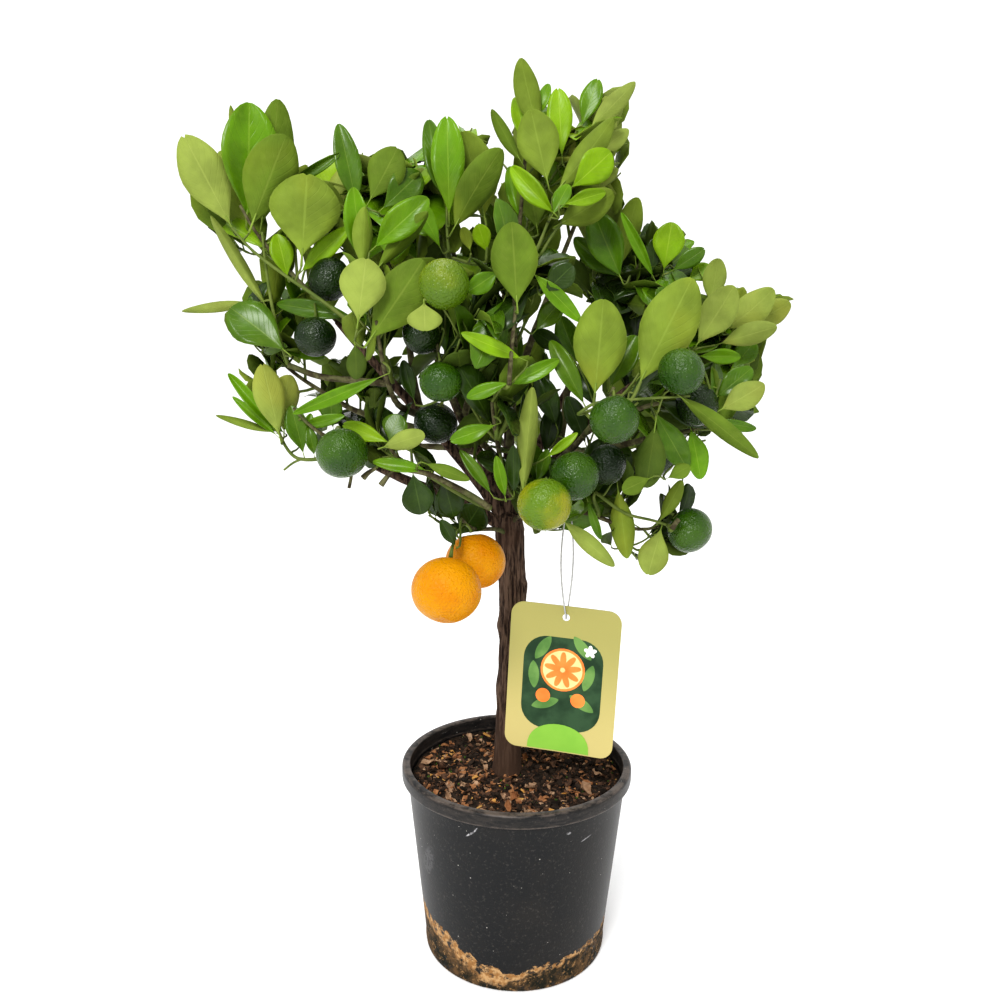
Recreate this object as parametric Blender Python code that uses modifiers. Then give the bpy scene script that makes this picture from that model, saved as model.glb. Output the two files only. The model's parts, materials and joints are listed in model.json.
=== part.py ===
"""Calamondin orange tree in its nursery pot.

The tree is a set of separate solids: pot, potting mix, trunk, one tapering bough for each mass of
foliage, and the masses themselves. Each mass is twigs that branch from one stem by a seeded rule,
with leaves and fruit fused on. Metres, +Z up, origin at the middle of the pot's flat underside.
The side with the hanging card looks along -Y.
"""

import math
import random
from dataclasses import dataclass, field

import bmesh
import bpy
from mathutils import Matrix, Vector
from mathutils.bvhtree import BVHTree

UP = Vector((0.0, 0.0, 1.0))

# Driving dimensions of the pot
RIM_RADIUS = 0.095
POT_HEIGHT = 0.160
BASE_RADIUS = 0.075
SHOULDER_RADIUS = 0.0901
LIP_HEIGHT = 0.0112
WALL = 0.0018
FLOOR = 0.0025
POT_STEPS = 24
MIX_LEVEL = 0.148
EDGE = 0.0014
BASE_EDGE = 0.0030

# Driving dimensions of the trunk
GAP = 0.0003
FOOT = Vector((-0.008, 0.0, MIX_LEVEL + GAP))
FORK = Vector((-0.009, 0.0, 0.366))
TRUNK_BOW = 0.005
TRUNK_RADIUS = 0.0105
FLARE = 0.0035
FLARE_HEIGHT = 0.014
FOOT_CUT = 0.003
GRAFT_HEIGHT = 0.353
GRAFT_SWELL = 0.0016
GRAFT_REACH = 0.006
TRUNK_RINGS = 12
TRUNK_SIDES = 12
TRUNK_TOP = 0.004
TRUNK_TOP_SHARE = 0.62

# Limbs, twigs and leaves
MAIN_RADIUS = (0.0052, 0.0026)
SIDE_RADIUS = (0.0034, 0.0019)
CARRIER_SHARE = 0.85
MAIN_SIDES = 8
SIDE_SIDES = 6
LIMB_RINGS = 5
CURVE_PULL = 0.36
STEM_RADIUS = (0.0019, 0.0013)
STEM_RINGS = 4
STEM_COLLAR = 0.0015
STEM_RISE = 0.60
SHOOT_RISE = 0.40
LEAF_RISE = 0.30
SHOOT_RADIUS = (0.0015, 0.0012)
STALK_RADIUS = 0.0011
STALK_TRIES = (0.0, 0.15, -0.15, 0.3, -0.3, 0.45, -0.45, 0.0)
STALK_DEPTH = 0.45
FRUIT_FLATNESS = 0.93
FRUIT_SEGMENTS = (8, 5)
GOLDEN_ANGLE = math.radians(137.5)
LEAF_WIDTH = 0.50
LEAF_THICKNESS = 0.0014
LEAF_FOLD = 0.10
LEAF_DROOP = 0.07
SPRAY_ANGLE = math.radians(44)
SPRAY_SPREAD = (-0.15, 0.20)
SHOOT_SPAN = (0.22, 0.82)
SHOOT_REACH = (0.42, 0.56)
SHOOT_EXTRA = 0.008
SHOOT_TRIES = 6
SHOOT_TRY_TURN = 0.55
LEAF_CLEARANCE = 0.0010
LEAF_FREE_SHARE = 0.86
LEAF_SCALE = 1.10
LEAF_SIZES = (0.82, 1.06)
LEAF_LEAN = (0.50, 0.95)
LEAF_ROLL = 0.4
LEAF_SINK = 0.35
LEAF_TRIES = ((0, 0.0), (120, 0.0), (-120, 0.0), (0, 0.3), (120, 0.3), (-120, 0.3), (0, -0.3),
              (120, -0.3))
STEM_LEAVES = 4
SHOOT_LEAVES = 3
STEM_LEAF_SPAN = (0.55, 0.96)
SHOOT_LEAF_SPAN = (0.45, 0.96)
ROOM_SHARE = 1.15

# How finely a fused or cut mesh is tidied
WELD = 0.0000001
CAP_WELD = 0.00001
SPARE_LEAVES = 4
FLAT_ANGLE = math.radians(0.3)

# The picture card and its thread
CARD_BOUGH = "low_right"
CARD_BOUGH_SHARE = 0.86
CARD_SIZE = (0.084, 0.117)
CARD_THICKNESS = 0.0008
CARD_CORNER = 0.010
CARD_TURN = math.radians(2.5)
CARD_YAW = math.radians(-12)
EYELET_RADIUS = 0.0028
EYELET_DROP = 0.009
EYELET_HEIGHT = 0.299
THREAD_RADIUS = 0.0005
THREAD_SPREAD = 0.0034
THREAD_LOW_SPREAD = 0.0017
THREAD_STEPS = 5


@dataclass(frozen=True)
class Branch:
    """A bough and the mass of foliage on its tip, both placed from the fork by bearing, rise and reach.

    parent is the bough that carries it, or the trunk, and start the share of the parent's length
    where it leaves. A mass with no bough grows on a stem straight from the trunk.
    """

    name: str
    parent: str
    start: float
    end: tuple
    tip: tuple
    shoots: int
    leaf: float
    seed: int
    bough: bool = True


@dataclass(frozen=True)
class Fruit:
    """One fruit, hung on the named mass at a bearing, rise and reach from the fork."""

    mass: str
    place: tuple
    diameter: float


BRANCHES = [
    Branch("left_low", "trunk", 0.93, (-161, 24, 0.135), (-166, 28, 0.186), 3, 0.046, 3),
    Branch("left_high", "trunk", 0.95, (-166, 49, 0.200), (-168, 49.5, 0.304), 3, 0.066, 5),
    Branch("centre_top", "trunk", 0.97, (-80, 84, 0.175), (-64, 85, 0.291), 4, 0.054, 7),
    Branch("right_far", "trunk", 0.94, (-6, 47, 0.152), (-7, 41, 0.218), 3, 0.054, 9),
    Branch("back_left_high", "trunk", 0.96, (128, 50, 0.165), (124, 52, 0.240), 3, 0.056, 11),
    Branch("back_right_high", "trunk", 0.95, (50, 50, 0.165), (46, 48, 0.240), 3, 0.056, 13),
    Branch("left_arm", "left_high", 0.42, (176, 33, 0.168), (178, 35, 0.232), 3, 0.048, 15),
    Branch("left_upper", "left_high", 0.55, (178, 63, 0.185), (-176, 66, 0.270), 3, 0.056, 17),
    Branch("left_front", "left_high", 0.52, (-136, 42, 0.152), (-128, 47, 0.205), 2, 0.056, 19),
    Branch("low_left", "left_low", 0.42, (-135, 27, 0.094), (-132, 28, 0.138), 3, 0.042, 21),
    Branch("right_top", "centre_top", 0.50, (2, 80, 0.185), (4, 77, 0.276), 3, 0.054, 23),
    Branch("left_top", "centre_top", 0.45, (152, 77, 0.180), (168, 77, 0.268), 3, 0.056, 25),
    Branch("centre_high", "centre_top", 0.32, (-86, 62, 0.140), (-88, 58, 0.200), 3, 0.054, 27),
    Branch("centre_front", "centre_top", 0.12, (-95, 42, 0.075), (-96, 44, 0.140), 2, 0.056, 29),
    Branch("front_left", "centre_top", 0.20, (-122, 52, 0.112), (-117, 52, 0.172), 2, 0.050, 31),
    Branch("right_high", "right_far", 0.40, (22, 66, 0.158), (16, 62, 0.228), 3, 0.054, 33),
    Branch("right_front", "right_far", 0.30, (-52, 40, 0.124), (-57, 40, 0.168), 3, 0.060, 35),
    Branch("right_low", "right_far", 0.38, (-30, 31, 0.134), (-27, 28, 0.186), 3, 0.050, 37),
    Branch("right_mid", "right_far", 0.55, (24, 34, 0.152), (19, 29, 0.212), 3, 0.052, 39),
    Branch("back_left_low", "back_left_high", 0.38, (146, 24, 0.130), (144, 24, 0.200), 3, 0.052, 41),
    Branch("back_top", "back_left_high", 0.58, (98, 64, 0.172), (92, 62, 0.242), 3, 0.054, 43),
    Branch("back_low", "back_right_high", 0.30, (96, 26, 0.120), (95, 24, 0.190), 3, 0.052, 45),
    Branch("back_right_low", "back_right_high", 0.42, (48, 20, 0.125), (46, 18, 0.195), 3, 0.052, 47),
    Branch("low_right", "right_far", 0.16, (-47, 11, 0.080), (-26, 2, 0.124), 3, 0.042, 49),
    Branch("low_front", "trunk", 0.96, (-72, 22, 0.020), (-66, 20, 0.080), 2, 0.044, 51, False),
    Branch("low_hanging", "trunk", 0.92, (-118, 20, 0.020), (-116, 8, 0.076), 3, 0.034, 53, False),
]

FRUITS = [
    Fruit("left_high", (-165, 53, 0.226), 0.0320),
    Fruit("left_high", (-158, 43, 0.204), 0.0300),
    Fruit("left_low", (-138, 23, 0.163), 0.0347),
    Fruit("front_left", (-109, 54, 0.214), 0.0325),
    Fruit("front_left", (-123, 53, 0.178), 0.0284),
    Fruit("front_left", (-114, 45, 0.156), 0.0288),
    Fruit("front_left", (-134, 46, 0.109), 0.0319),
    Fruit("low_front", (-79, 14, 0.136), 0.0358),
    Fruit("low_front", (-66, 23, 0.123), 0.0338),
    Fruit("low_front", (-47, 27, 0.115), 0.0296),
    Fruit("right_front", (-64, 30, 0.179), 0.0315),
    Fruit("right_low", (-47, 36, 0.203), 0.0303),
    Fruit("right_low", (-31, 32, 0.180), 0.0304),
    Fruit("low_right", (-24, 1, 0.146), 0.0335),
    Fruit("low_hanging", (-108, -12, 0.129), 0.0445),
    Fruit("low_hanging", (-108, -14, 0.079), 0.0419),
    Fruit("back_left_low", (136, 14, 0.170), 0.0330),
    Fruit("back_low", (84, 18, 0.165), 0.0345),
    Fruit("back_right_low", (36, 12, 0.165), 0.0320),
    Fruit("back_left_high", (112, 44, 0.210), 0.0310),
    Fruit("back_right_high", (58, 40, 0.205), 0.0325),
]


@dataclass
class Solid:
    """A closed mesh that is kept as an obstacle: its middle, its radius about it and its search tree.

    owner is the mass that it belongs to, or the wood or the card, and kind says what it is.
    """

    centre: Vector
    radius: float
    tree: BVHTree
    owner: str
    kind: str


@dataclass
class Path:
    """A smooth route with a radius at each of its points."""

    points: list
    radii: list

    def at(self, share):
        """Gives the point, the direction and the radius at a share of the route."""
        place = min(max(share, 0.0), 1.0) * (len(self.points) - 1)
        index = min(int(place), len(self.points) - 2)
        blend = place - index
        point = self.points[index].lerp(self.points[index + 1], blend)
        heading = (self.points[index + 1] - self.points[index]).normalized()
        radius = self.radii[index] * (1 - blend) + self.radii[index + 1] * blend
        return point, heading, radius

    def nearest_share(self, target):
        """Gives the share of the route that lies nearest to a point."""
        shares = [step / 40 for step in range(8, 37)]
        return min(shares, key=lambda share: (self.at(share)[0] - target).length)


@dataclass
class Tree:
    """What has been made so far: the routes of the limbs, and the solids that a leaf must miss."""

    paths: dict = field(default_factory=dict)
    obstacles: list = field(default_factory=list)


def clear_scene():
    """Removes every object of the scene."""
    for item in list(bpy.data.objects):
        bpy.data.objects.remove(item, do_unlink=True)


def new_collection(name):
    """Makes a collection in the scene."""
    collection = bpy.data.collections.new(name)
    bpy.context.scene.collection.children.link(collection)
    return collection


def make_material(name, colour, roughness):
    """Makes a Principled material."""
    material = bpy.data.materials.new(name)
    material.use_nodes = True
    shader = material.node_tree.nodes["Principled BSDF"]
    shader.inputs["Base Color"].default_value = (*colour, 1.0)
    shader.inputs["Roughness"].default_value = roughness
    material.diffuse_color = (*colour, 1.0)
    return material


def polar(place, centre=FORK):
    """Turns a bearing and a rise in degrees and a reach in metres into a point."""
    bearing, rise, reach = math.radians(place[0]), math.radians(place[1]), place[2]
    flat = math.cos(rise) * reach
    offset = Vector((flat * math.cos(bearing), flat * math.sin(bearing), math.sin(rise) * reach))
    return centre + offset


def bezier(start, start_way, end, end_way, count):
    """Gives count points along a cubic curve that leaves and arrives along two directions."""
    pull = (end - start).length * CURVE_PULL
    first, last = start + start_way * pull, end - end_way * pull
    points = []
    for step in range(count):
        t = step / (count - 1)
        s = 1 - t
        points.append(start * s ** 3 + first * 3 * s * s * t + last * 3 * s * t * t + end * t ** 3)
    return points


def taper(radii, count):
    """Gives count radii that run evenly from the first to the second."""
    return [radii[0] + (radii[1] - radii[0]) * step / (count - 1) for step in range(count)]


def curve_to_mesh(curve_object, collection):
    """Replaces a curve by its mesh with welded caps."""
    bpy.context.view_layer.update()
    evaluated = curve_object.evaluated_get(bpy.context.evaluated_depsgraph_get())
    mesh = bpy.data.meshes.new_from_object(evaluated)
    shape = bmesh.new()
    shape.from_mesh(mesh)
    bmesh.ops.remove_doubles(shape, verts=shape.verts, dist=CAP_WELD)
    bmesh.ops.triangulate(shape, faces=shape.faces)
    bmesh.ops.recalc_face_normals(shape, faces=shape.faces)
    bmesh.ops.transform(shape, matrix=curve_object.matrix_world, verts=shape.verts)
    shape.to_mesh(mesh)
    shape.free()
    result = bpy.data.objects.new(curve_object.name, mesh)
    name = curve_object.name
    bpy.data.objects.remove(curve_object, do_unlink=True)
    result.name = name
    collection.objects.link(result)
    return result


def tube(name, path, collection, sides=4, cyclic=False, grow=0.0):
    """Makes a closed tube with a number of sides along a path, wider all round by grow."""
    curve = bpy.data.curves.new(name, "CURVE")
    curve.dimensions = "3D"
    curve.bevel_depth = 1.0
    curve.bevel_resolution = (sides - 4) // 2
    curve.render_resolution_u = 0
    curve.use_fill_caps = not cyclic
    curve.twist_mode = "MINIMUM"
    spline = curve.splines.new("POLY")
    spline.points.add(len(path.points) - 1)
    for point, place, radius in zip(spline.points, path.points, path.radii):
        point.co = (*place, 1.0)
        point.radius = radius + grow
    spline.use_cyclic_u = cyclic
    item = bpy.data.objects.new(name, curve)
    collection.objects.link(item)
    return curve_to_mesh(item, collection)


def twig(name, start, end, radii, collection):
    """Makes a straight three-sided twig between two points."""
    mesh = bpy.data.meshes.new(name)
    shape = bmesh.new()
    run = end - start
    bmesh.ops.create_cone(shape, cap_ends=True, segments=3, radius1=radii[0], radius2=radii[1],
                          depth=run.length)
    turn = run.to_track_quat("Z", "Y").to_matrix().to_4x4()
    bmesh.ops.transform(shape, matrix=Matrix.Translation((start + end) / 2) @ turn, verts=shape.verts)
    shape.to_mesh(mesh)
    shape.free()
    item = bpy.data.objects.new(name, mesh)
    collection.objects.link(item)
    return item


def solid_of(mesh, owner, kind, swell=0.0, keep_to=None):
    """Records a mesh as an obstacle, swollen along its normals or drawn in towards a point."""
    corners = [vertex.co + vertex.normal * swell for vertex in mesh.vertices]
    if keep_to is not None:
        corners = [keep_to.lerp(corner, LEAF_FREE_SHARE) for corner in corners]
    centre = sum(corners, Vector()) / len(corners)
    radius = max((corner - centre).length for corner in corners)
    faces = [tuple(polygon.vertices) for polygon in mesh.polygons]
    return Solid(centre, radius, BVHTree.FromPolygons(corners, faces), owner, kind)


def meets(solid, others):
    """Says whether a solid touches any of the others."""
    for other in others:
        if (solid.centre - other.centre).length > solid.radius + other.radius:
            continue
        if solid.tree.overlap(other.tree):
            return True
    return False


def islands_of(shape):
    """Lists the separate bodies of a bmesh as lists of faces."""
    left = set(shape.faces)
    islands = []
    while left:
        seed = left.pop()
        island, edge_of_search = [seed], [seed]
        while edge_of_search:
            face = edge_of_search.pop()
            for edge in face.edges:
                for neighbour in edge.link_faces:
                    if neighbour in left:
                        left.remove(neighbour)
                        island.append(neighbour)
                        edge_of_search.append(neighbour)
        islands.append(island)
    return islands


def is_closed(shape):
    """Says whether a bmesh's surface is closed and never touches itself."""
    return all(bit.is_manifold for bits in (shape.edges, shape.verts) for bit in bits)


def flattened(shape):
    """Gives a copy of a bmesh with its flat stretches cut into as few triangles as they need."""
    result = shape.copy()
    bmesh.ops.dissolve_limit(result, angle_limit=FLAT_ANGLE, verts=result.verts, edges=result.edges)
    bmesh.ops.triangulate(result, faces=result.faces)
    return result


def tidy_mesh(mesh, keep_near=None):
    """Keeps one body of a mesh: the one that holds the vertex nearest to a point, or the largest.

    Scraps that a cut leaves and the walls of sealed hollows are bodies of their own, so they go.
    Returns whether the surface is then closed.
    """
    shape = bmesh.new()
    shape.from_mesh(mesh)
    bmesh.ops.remove_doubles(shape, verts=shape.verts, dist=WELD)
    bmesh.ops.triangulate(shape, faces=shape.faces)
    islands = islands_of(shape)
    if keep_near is None:
        keep = max(islands, key=len)
    else:
        keep = min(islands, key=lambda island: min((corner.co - keep_near).length
                                                   for face in island for corner in face.verts))
    keep = set(keep)
    bmesh.ops.delete(shape, geom=[face for face in shape.faces if face not in keep], context="FACES")
    loose = [vertex for vertex in shape.verts if not vertex.link_faces]
    bmesh.ops.delete(shape, geom=loose, context="VERTS")
    flat = flattened(shape)
    best = flat if is_closed(flat) else shape
    closed = is_closed(best)
    best.to_mesh(mesh)
    flat.free()
    shape.free()
    return closed


def boolean(item, others, operation, keep_near=None, spare=0):
    """Joins or cuts an object by all of the others, which are removed.

    Where neither solver gives a closed body, the last of the others is left out and both try again,
    for spare of them at most.
    """
    if not others:
        return item
    group = bpy.data.collections.new(f"{item.name}_bits")
    bpy.context.scene.collection.children.link(group)
    for other in others:
        for holder in list(other.users_collection):
            holder.objects.unlink(other)
        group.objects.link(other)
    modifier = item.modifiers.new("join", "BOOLEAN")
    modifier.operation = operation
    modifier.operand_type = "COLLECTION"
    modifier.collection = group
    for attempt in range(2 * (spare + 1)):
        modifier.solver = ("EXACT", "MANIFOLD")[attempt % 2]
        if attempt and attempt % 2 == 0:
            group.objects.unlink(others[-attempt // 2])
        bpy.context.view_layer.update()
        evaluated = item.evaluated_get(bpy.context.evaluated_depsgraph_get())
        mesh = bpy.data.meshes.new_from_object(evaluated)
        if tidy_mesh(mesh, keep_near):
            break
    item.modifiers.remove(modifier)
    item.data = mesh
    for other in others:
        bpy.data.objects.remove(other, do_unlink=True)
    bpy.data.collections.remove(group)
    return item


def turned(name, profile, collection):
    """Turns a profile that runs down its outer side into a solid of revolution."""
    mesh = bpy.data.meshes.new(name)
    shape = bmesh.new()
    corners = [shape.verts.new((radius, 0.0, height)) for radius, height in profile]
    for first, second in zip(corners, corners[1:]):
        shape.edges.new((first, second))
    shape.to_mesh(mesh)
    shape.free()
    item = bpy.data.objects.new(name, mesh)
    collection.objects.link(item)
    screw = item.modifiers.new("turn", "SCREW")
    screw.steps = POT_STEPS
    screw.render_steps = POT_STEPS
    screw.use_merge_vertices = True
    screw.merge_threshold = CAP_WELD
    return item


def make_pot(collection, material):
    """Makes the pot: a tapered wall with a rolled lip and a flat floor."""
    inner_top = SHOULDER_RADIUS - WALL
    inner_base = BASE_RADIUS - WALL
    lip_base = POT_HEIGHT - LIP_HEIGHT
    profile = [(0.0, FLOOR), (inner_base, FLOOR), (inner_top, POT_HEIGHT - EDGE),
               (inner_top + EDGE, POT_HEIGHT), (RIM_RADIUS - EDGE, POT_HEIGHT),
               (RIM_RADIUS, POT_HEIGHT - EDGE), (RIM_RADIUS, lip_base + EDGE),
               (RIM_RADIUS - EDGE, lip_base), (SHOULDER_RADIUS, lip_base),
               (BASE_RADIUS, BASE_EDGE), (BASE_RADIUS - EDGE, 0.0), (0.0, 0.0)]
    pot = turned("pot", profile, collection)
    pot.data.materials.append(material)
    return pot


def make_mix(collection, material):
    """Makes the potting mix: a plug that fills the pot up to a flat level."""
    slope = (SHOULDER_RADIUS - BASE_RADIUS) / (POT_HEIGHT - EDGE - FLOOR)
    base = BASE_RADIUS - WALL - GAP * 1.5 + slope * GAP
    top = BASE_RADIUS - WALL - GAP * 1.5 + slope * (MIX_LEVEL - FLOOR)
    profile = [(0.0, MIX_LEVEL), (top, MIX_LEVEL), (base, FLOOR + GAP), (0.0, FLOOR + GAP)]
    mix = turned("potting_mix", profile, collection)
    mix.data.materials.append(material)
    return mix


def trunk_path():
    """Gives the trunk's route and radii: a slight bow, a flare at the foot and the graft's swelling."""
    height = FORK.z - FOOT.z
    points = [FOOT.copy(), FOOT + UP * FOOT_CUT]
    radii = [TRUNK_RADIUS + FLARE * math.exp(-rise / FLARE_HEIGHT) for rise in (0.0, FOOT_CUT)]
    for step in range(1, TRUNK_RINGS + 1):
        share = step / TRUNK_RINGS
        rise = height * share
        bow = TRUNK_BOW * math.sin(math.pi * share) * (0.4 + 0.8 * share)
        points.append(FOOT.lerp(FORK, share) + Vector((bow, 0.0, 0.0)))
        radius = TRUNK_RADIUS * (1.0 - 0.02 * share)
        radius += FLARE * math.exp(-rise / FLARE_HEIGHT)
        radius += GRAFT_SWELL * math.exp(-((FOOT.z + rise - GRAFT_HEIGHT) / GRAFT_REACH) ** 2)
        radii.append(radius)
    points.append(FORK + UP * TRUNK_TOP)
    radii.append(TRUNK_RADIUS * TRUNK_TOP_SHARE)
    return Path(points, radii)


def bough_path(branch, tree):
    """Gives a bough's route from the axis of what carries it to its tip, where its mass begins."""
    start, heading, carrier = tree.paths[branch.parent].at(branch.start)
    end, beyond = polar(branch.end), polar(branch.tip)
    straight = (end - start).normalized()
    away = (straight + heading * 0.35).normalized()
    arrive = (straight * 0.5 + (beyond - end).normalized()).normalized()
    points = bezier(start, away, end, arrive, LIMB_RINGS)
    if branch.parent == "trunk":
        radii = taper(MAIN_RADIUS, LIMB_RINGS)
    else:
        radii = taper((min(SIDE_RADIUS[0], carrier * CARRIER_SHARE), SIDE_RADIUS[1]), LIMB_RINGS)
    return Path(points, radii)


def longer(path, extra):
    """Gives a path that runs on past its end by a short way."""
    last_way = (path.points[-1] - path.points[-2]).normalized()
    points = path.points[:-1] + [path.points[-1] + last_way * extra]
    return Path(points, list(path.radii))


def make_limbs(tree, parts, cutters, material):
    """Makes the trunk and then each bough, cut clear of the limbs that were there before it."""
    limb_sides = {"trunk": TRUNK_SIDES}
    tree.paths["trunk"] = trunk_path()
    trunk = tube("trunk", tree.paths["trunk"], parts, sides=TRUNK_SIDES)
    trunk.data.materials.append(material)
    tree.obstacles.append(solid_of(trunk.data, "wood", "trunk"))
    made = ["trunk"]
    for branch in BRANCHES:
        if not branch.bough:
            continue
        path = bough_path(branch, tree)
        tree.paths[branch.name] = path
        sides = MAIN_SIDES if branch.parent == "trunk" else SIDE_SIDES
        limb_sides[branch.name] = sides
        limb = tube(f"bough_{branch.name}", path, parts, sides=sides)
        shape = solid_of(limb.data, "wood", "bough")
        tools = []
        for name in made:
            tool = tube(f"clearance_{name}", longer(tree.paths[name], GAP), cutters,
                        sides=limb_sides[name], grow=GAP * 1.15)
            if meets(shape, [solid_of(tool.data, "wood", "clearance")]):
                tools.append(tool)
            else:
                bpy.data.objects.remove(tool, do_unlink=True)
        boolean(limb, tools, "DIFFERENCE", keep_near=path.points[-1])
        limb.data.materials.append(material)
        made.append(branch.name)
        tree.obstacles.append(solid_of(limb.data, "wood", "bough"))


def leaf_mesh(name, root, way, face, length):
    """Makes one leaf from a five-sided flattened sphere.

    It runs from root along way and its upper side looks to face. Of the sphere's corners one becomes
    the root, two the widest places, which fold up, and two the blunt drooping tip.
    """
    mesh = bpy.data.meshes.new(name)
    shape = bmesh.new()
    bmesh.ops.create_uvsphere(shape, u_segments=5, v_segments=2, radius=1.0)
    width = length * LEAF_WIDTH
    rim = [vertex for vertex in shape.verts if abs(vertex.co.z) < 0.5]
    rim.sort(key=lambda vertex: math.atan2(vertex.co.y, vertex.co.x))
    outline = [(0.0, 0.0, 0.0), (0.54, -0.50, LEAF_FOLD), (0.95, -0.16, -LEAF_DROOP),
               (0.95, 0.16, -LEAF_DROOP), (0.54, 0.50, LEAF_FOLD)]
    for vertex, (along, across, lift) in zip(rim, outline):
        vertex.co = (length * along, width * across, width * lift)
    for vertex in shape.verts:
        if vertex not in rim:
            vertex.co = (length * 0.30, 0.0, math.copysign(LEAF_THICKNESS / 2, vertex.co.z))
    across_way = face.cross(way).normalized()
    up_way = way.cross(across_way).normalized()
    turn = Matrix((way, across_way, up_way)).transposed().to_4x4()
    bmesh.ops.transform(shape, matrix=Matrix.Translation(root) @ turn, verts=shape.verts)
    shape.to_mesh(mesh)
    shape.free()
    return mesh


def turned_about(way, axis, angle):
    """Turns a direction about an axis."""
    return (Matrix.Rotation(angle, 3, axis) @ way).normalized()


def spread_way(axis, turn, angle):
    """Gives a direction that leaves an axis by an angle, at a turn round it."""
    side = axis.orthogonal().normalized()
    return turned_about(turned_about(axis, side, angle), axis, turn)


def flat_side(mesh, root, heading, out):
    """Gives the outward direction of the twig's flat side that faces most nearly along out.

    A leaf that leaves through the middle of one flat side joins it along a short clean seam.
    """
    best, best_score = out, -2.0
    for polygon in mesh.polygons:
        if abs(polygon.normal.dot(heading)) > 0.5:
            continue
        along = abs((polygon.center - root).dot(heading))
        score = polygon.normal.dot(out) - along * 4.0
        if score > best_score:
            best, best_score = polygon.normal.copy(), score
    return (best - heading * best.dot(heading)).normalized()


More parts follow.
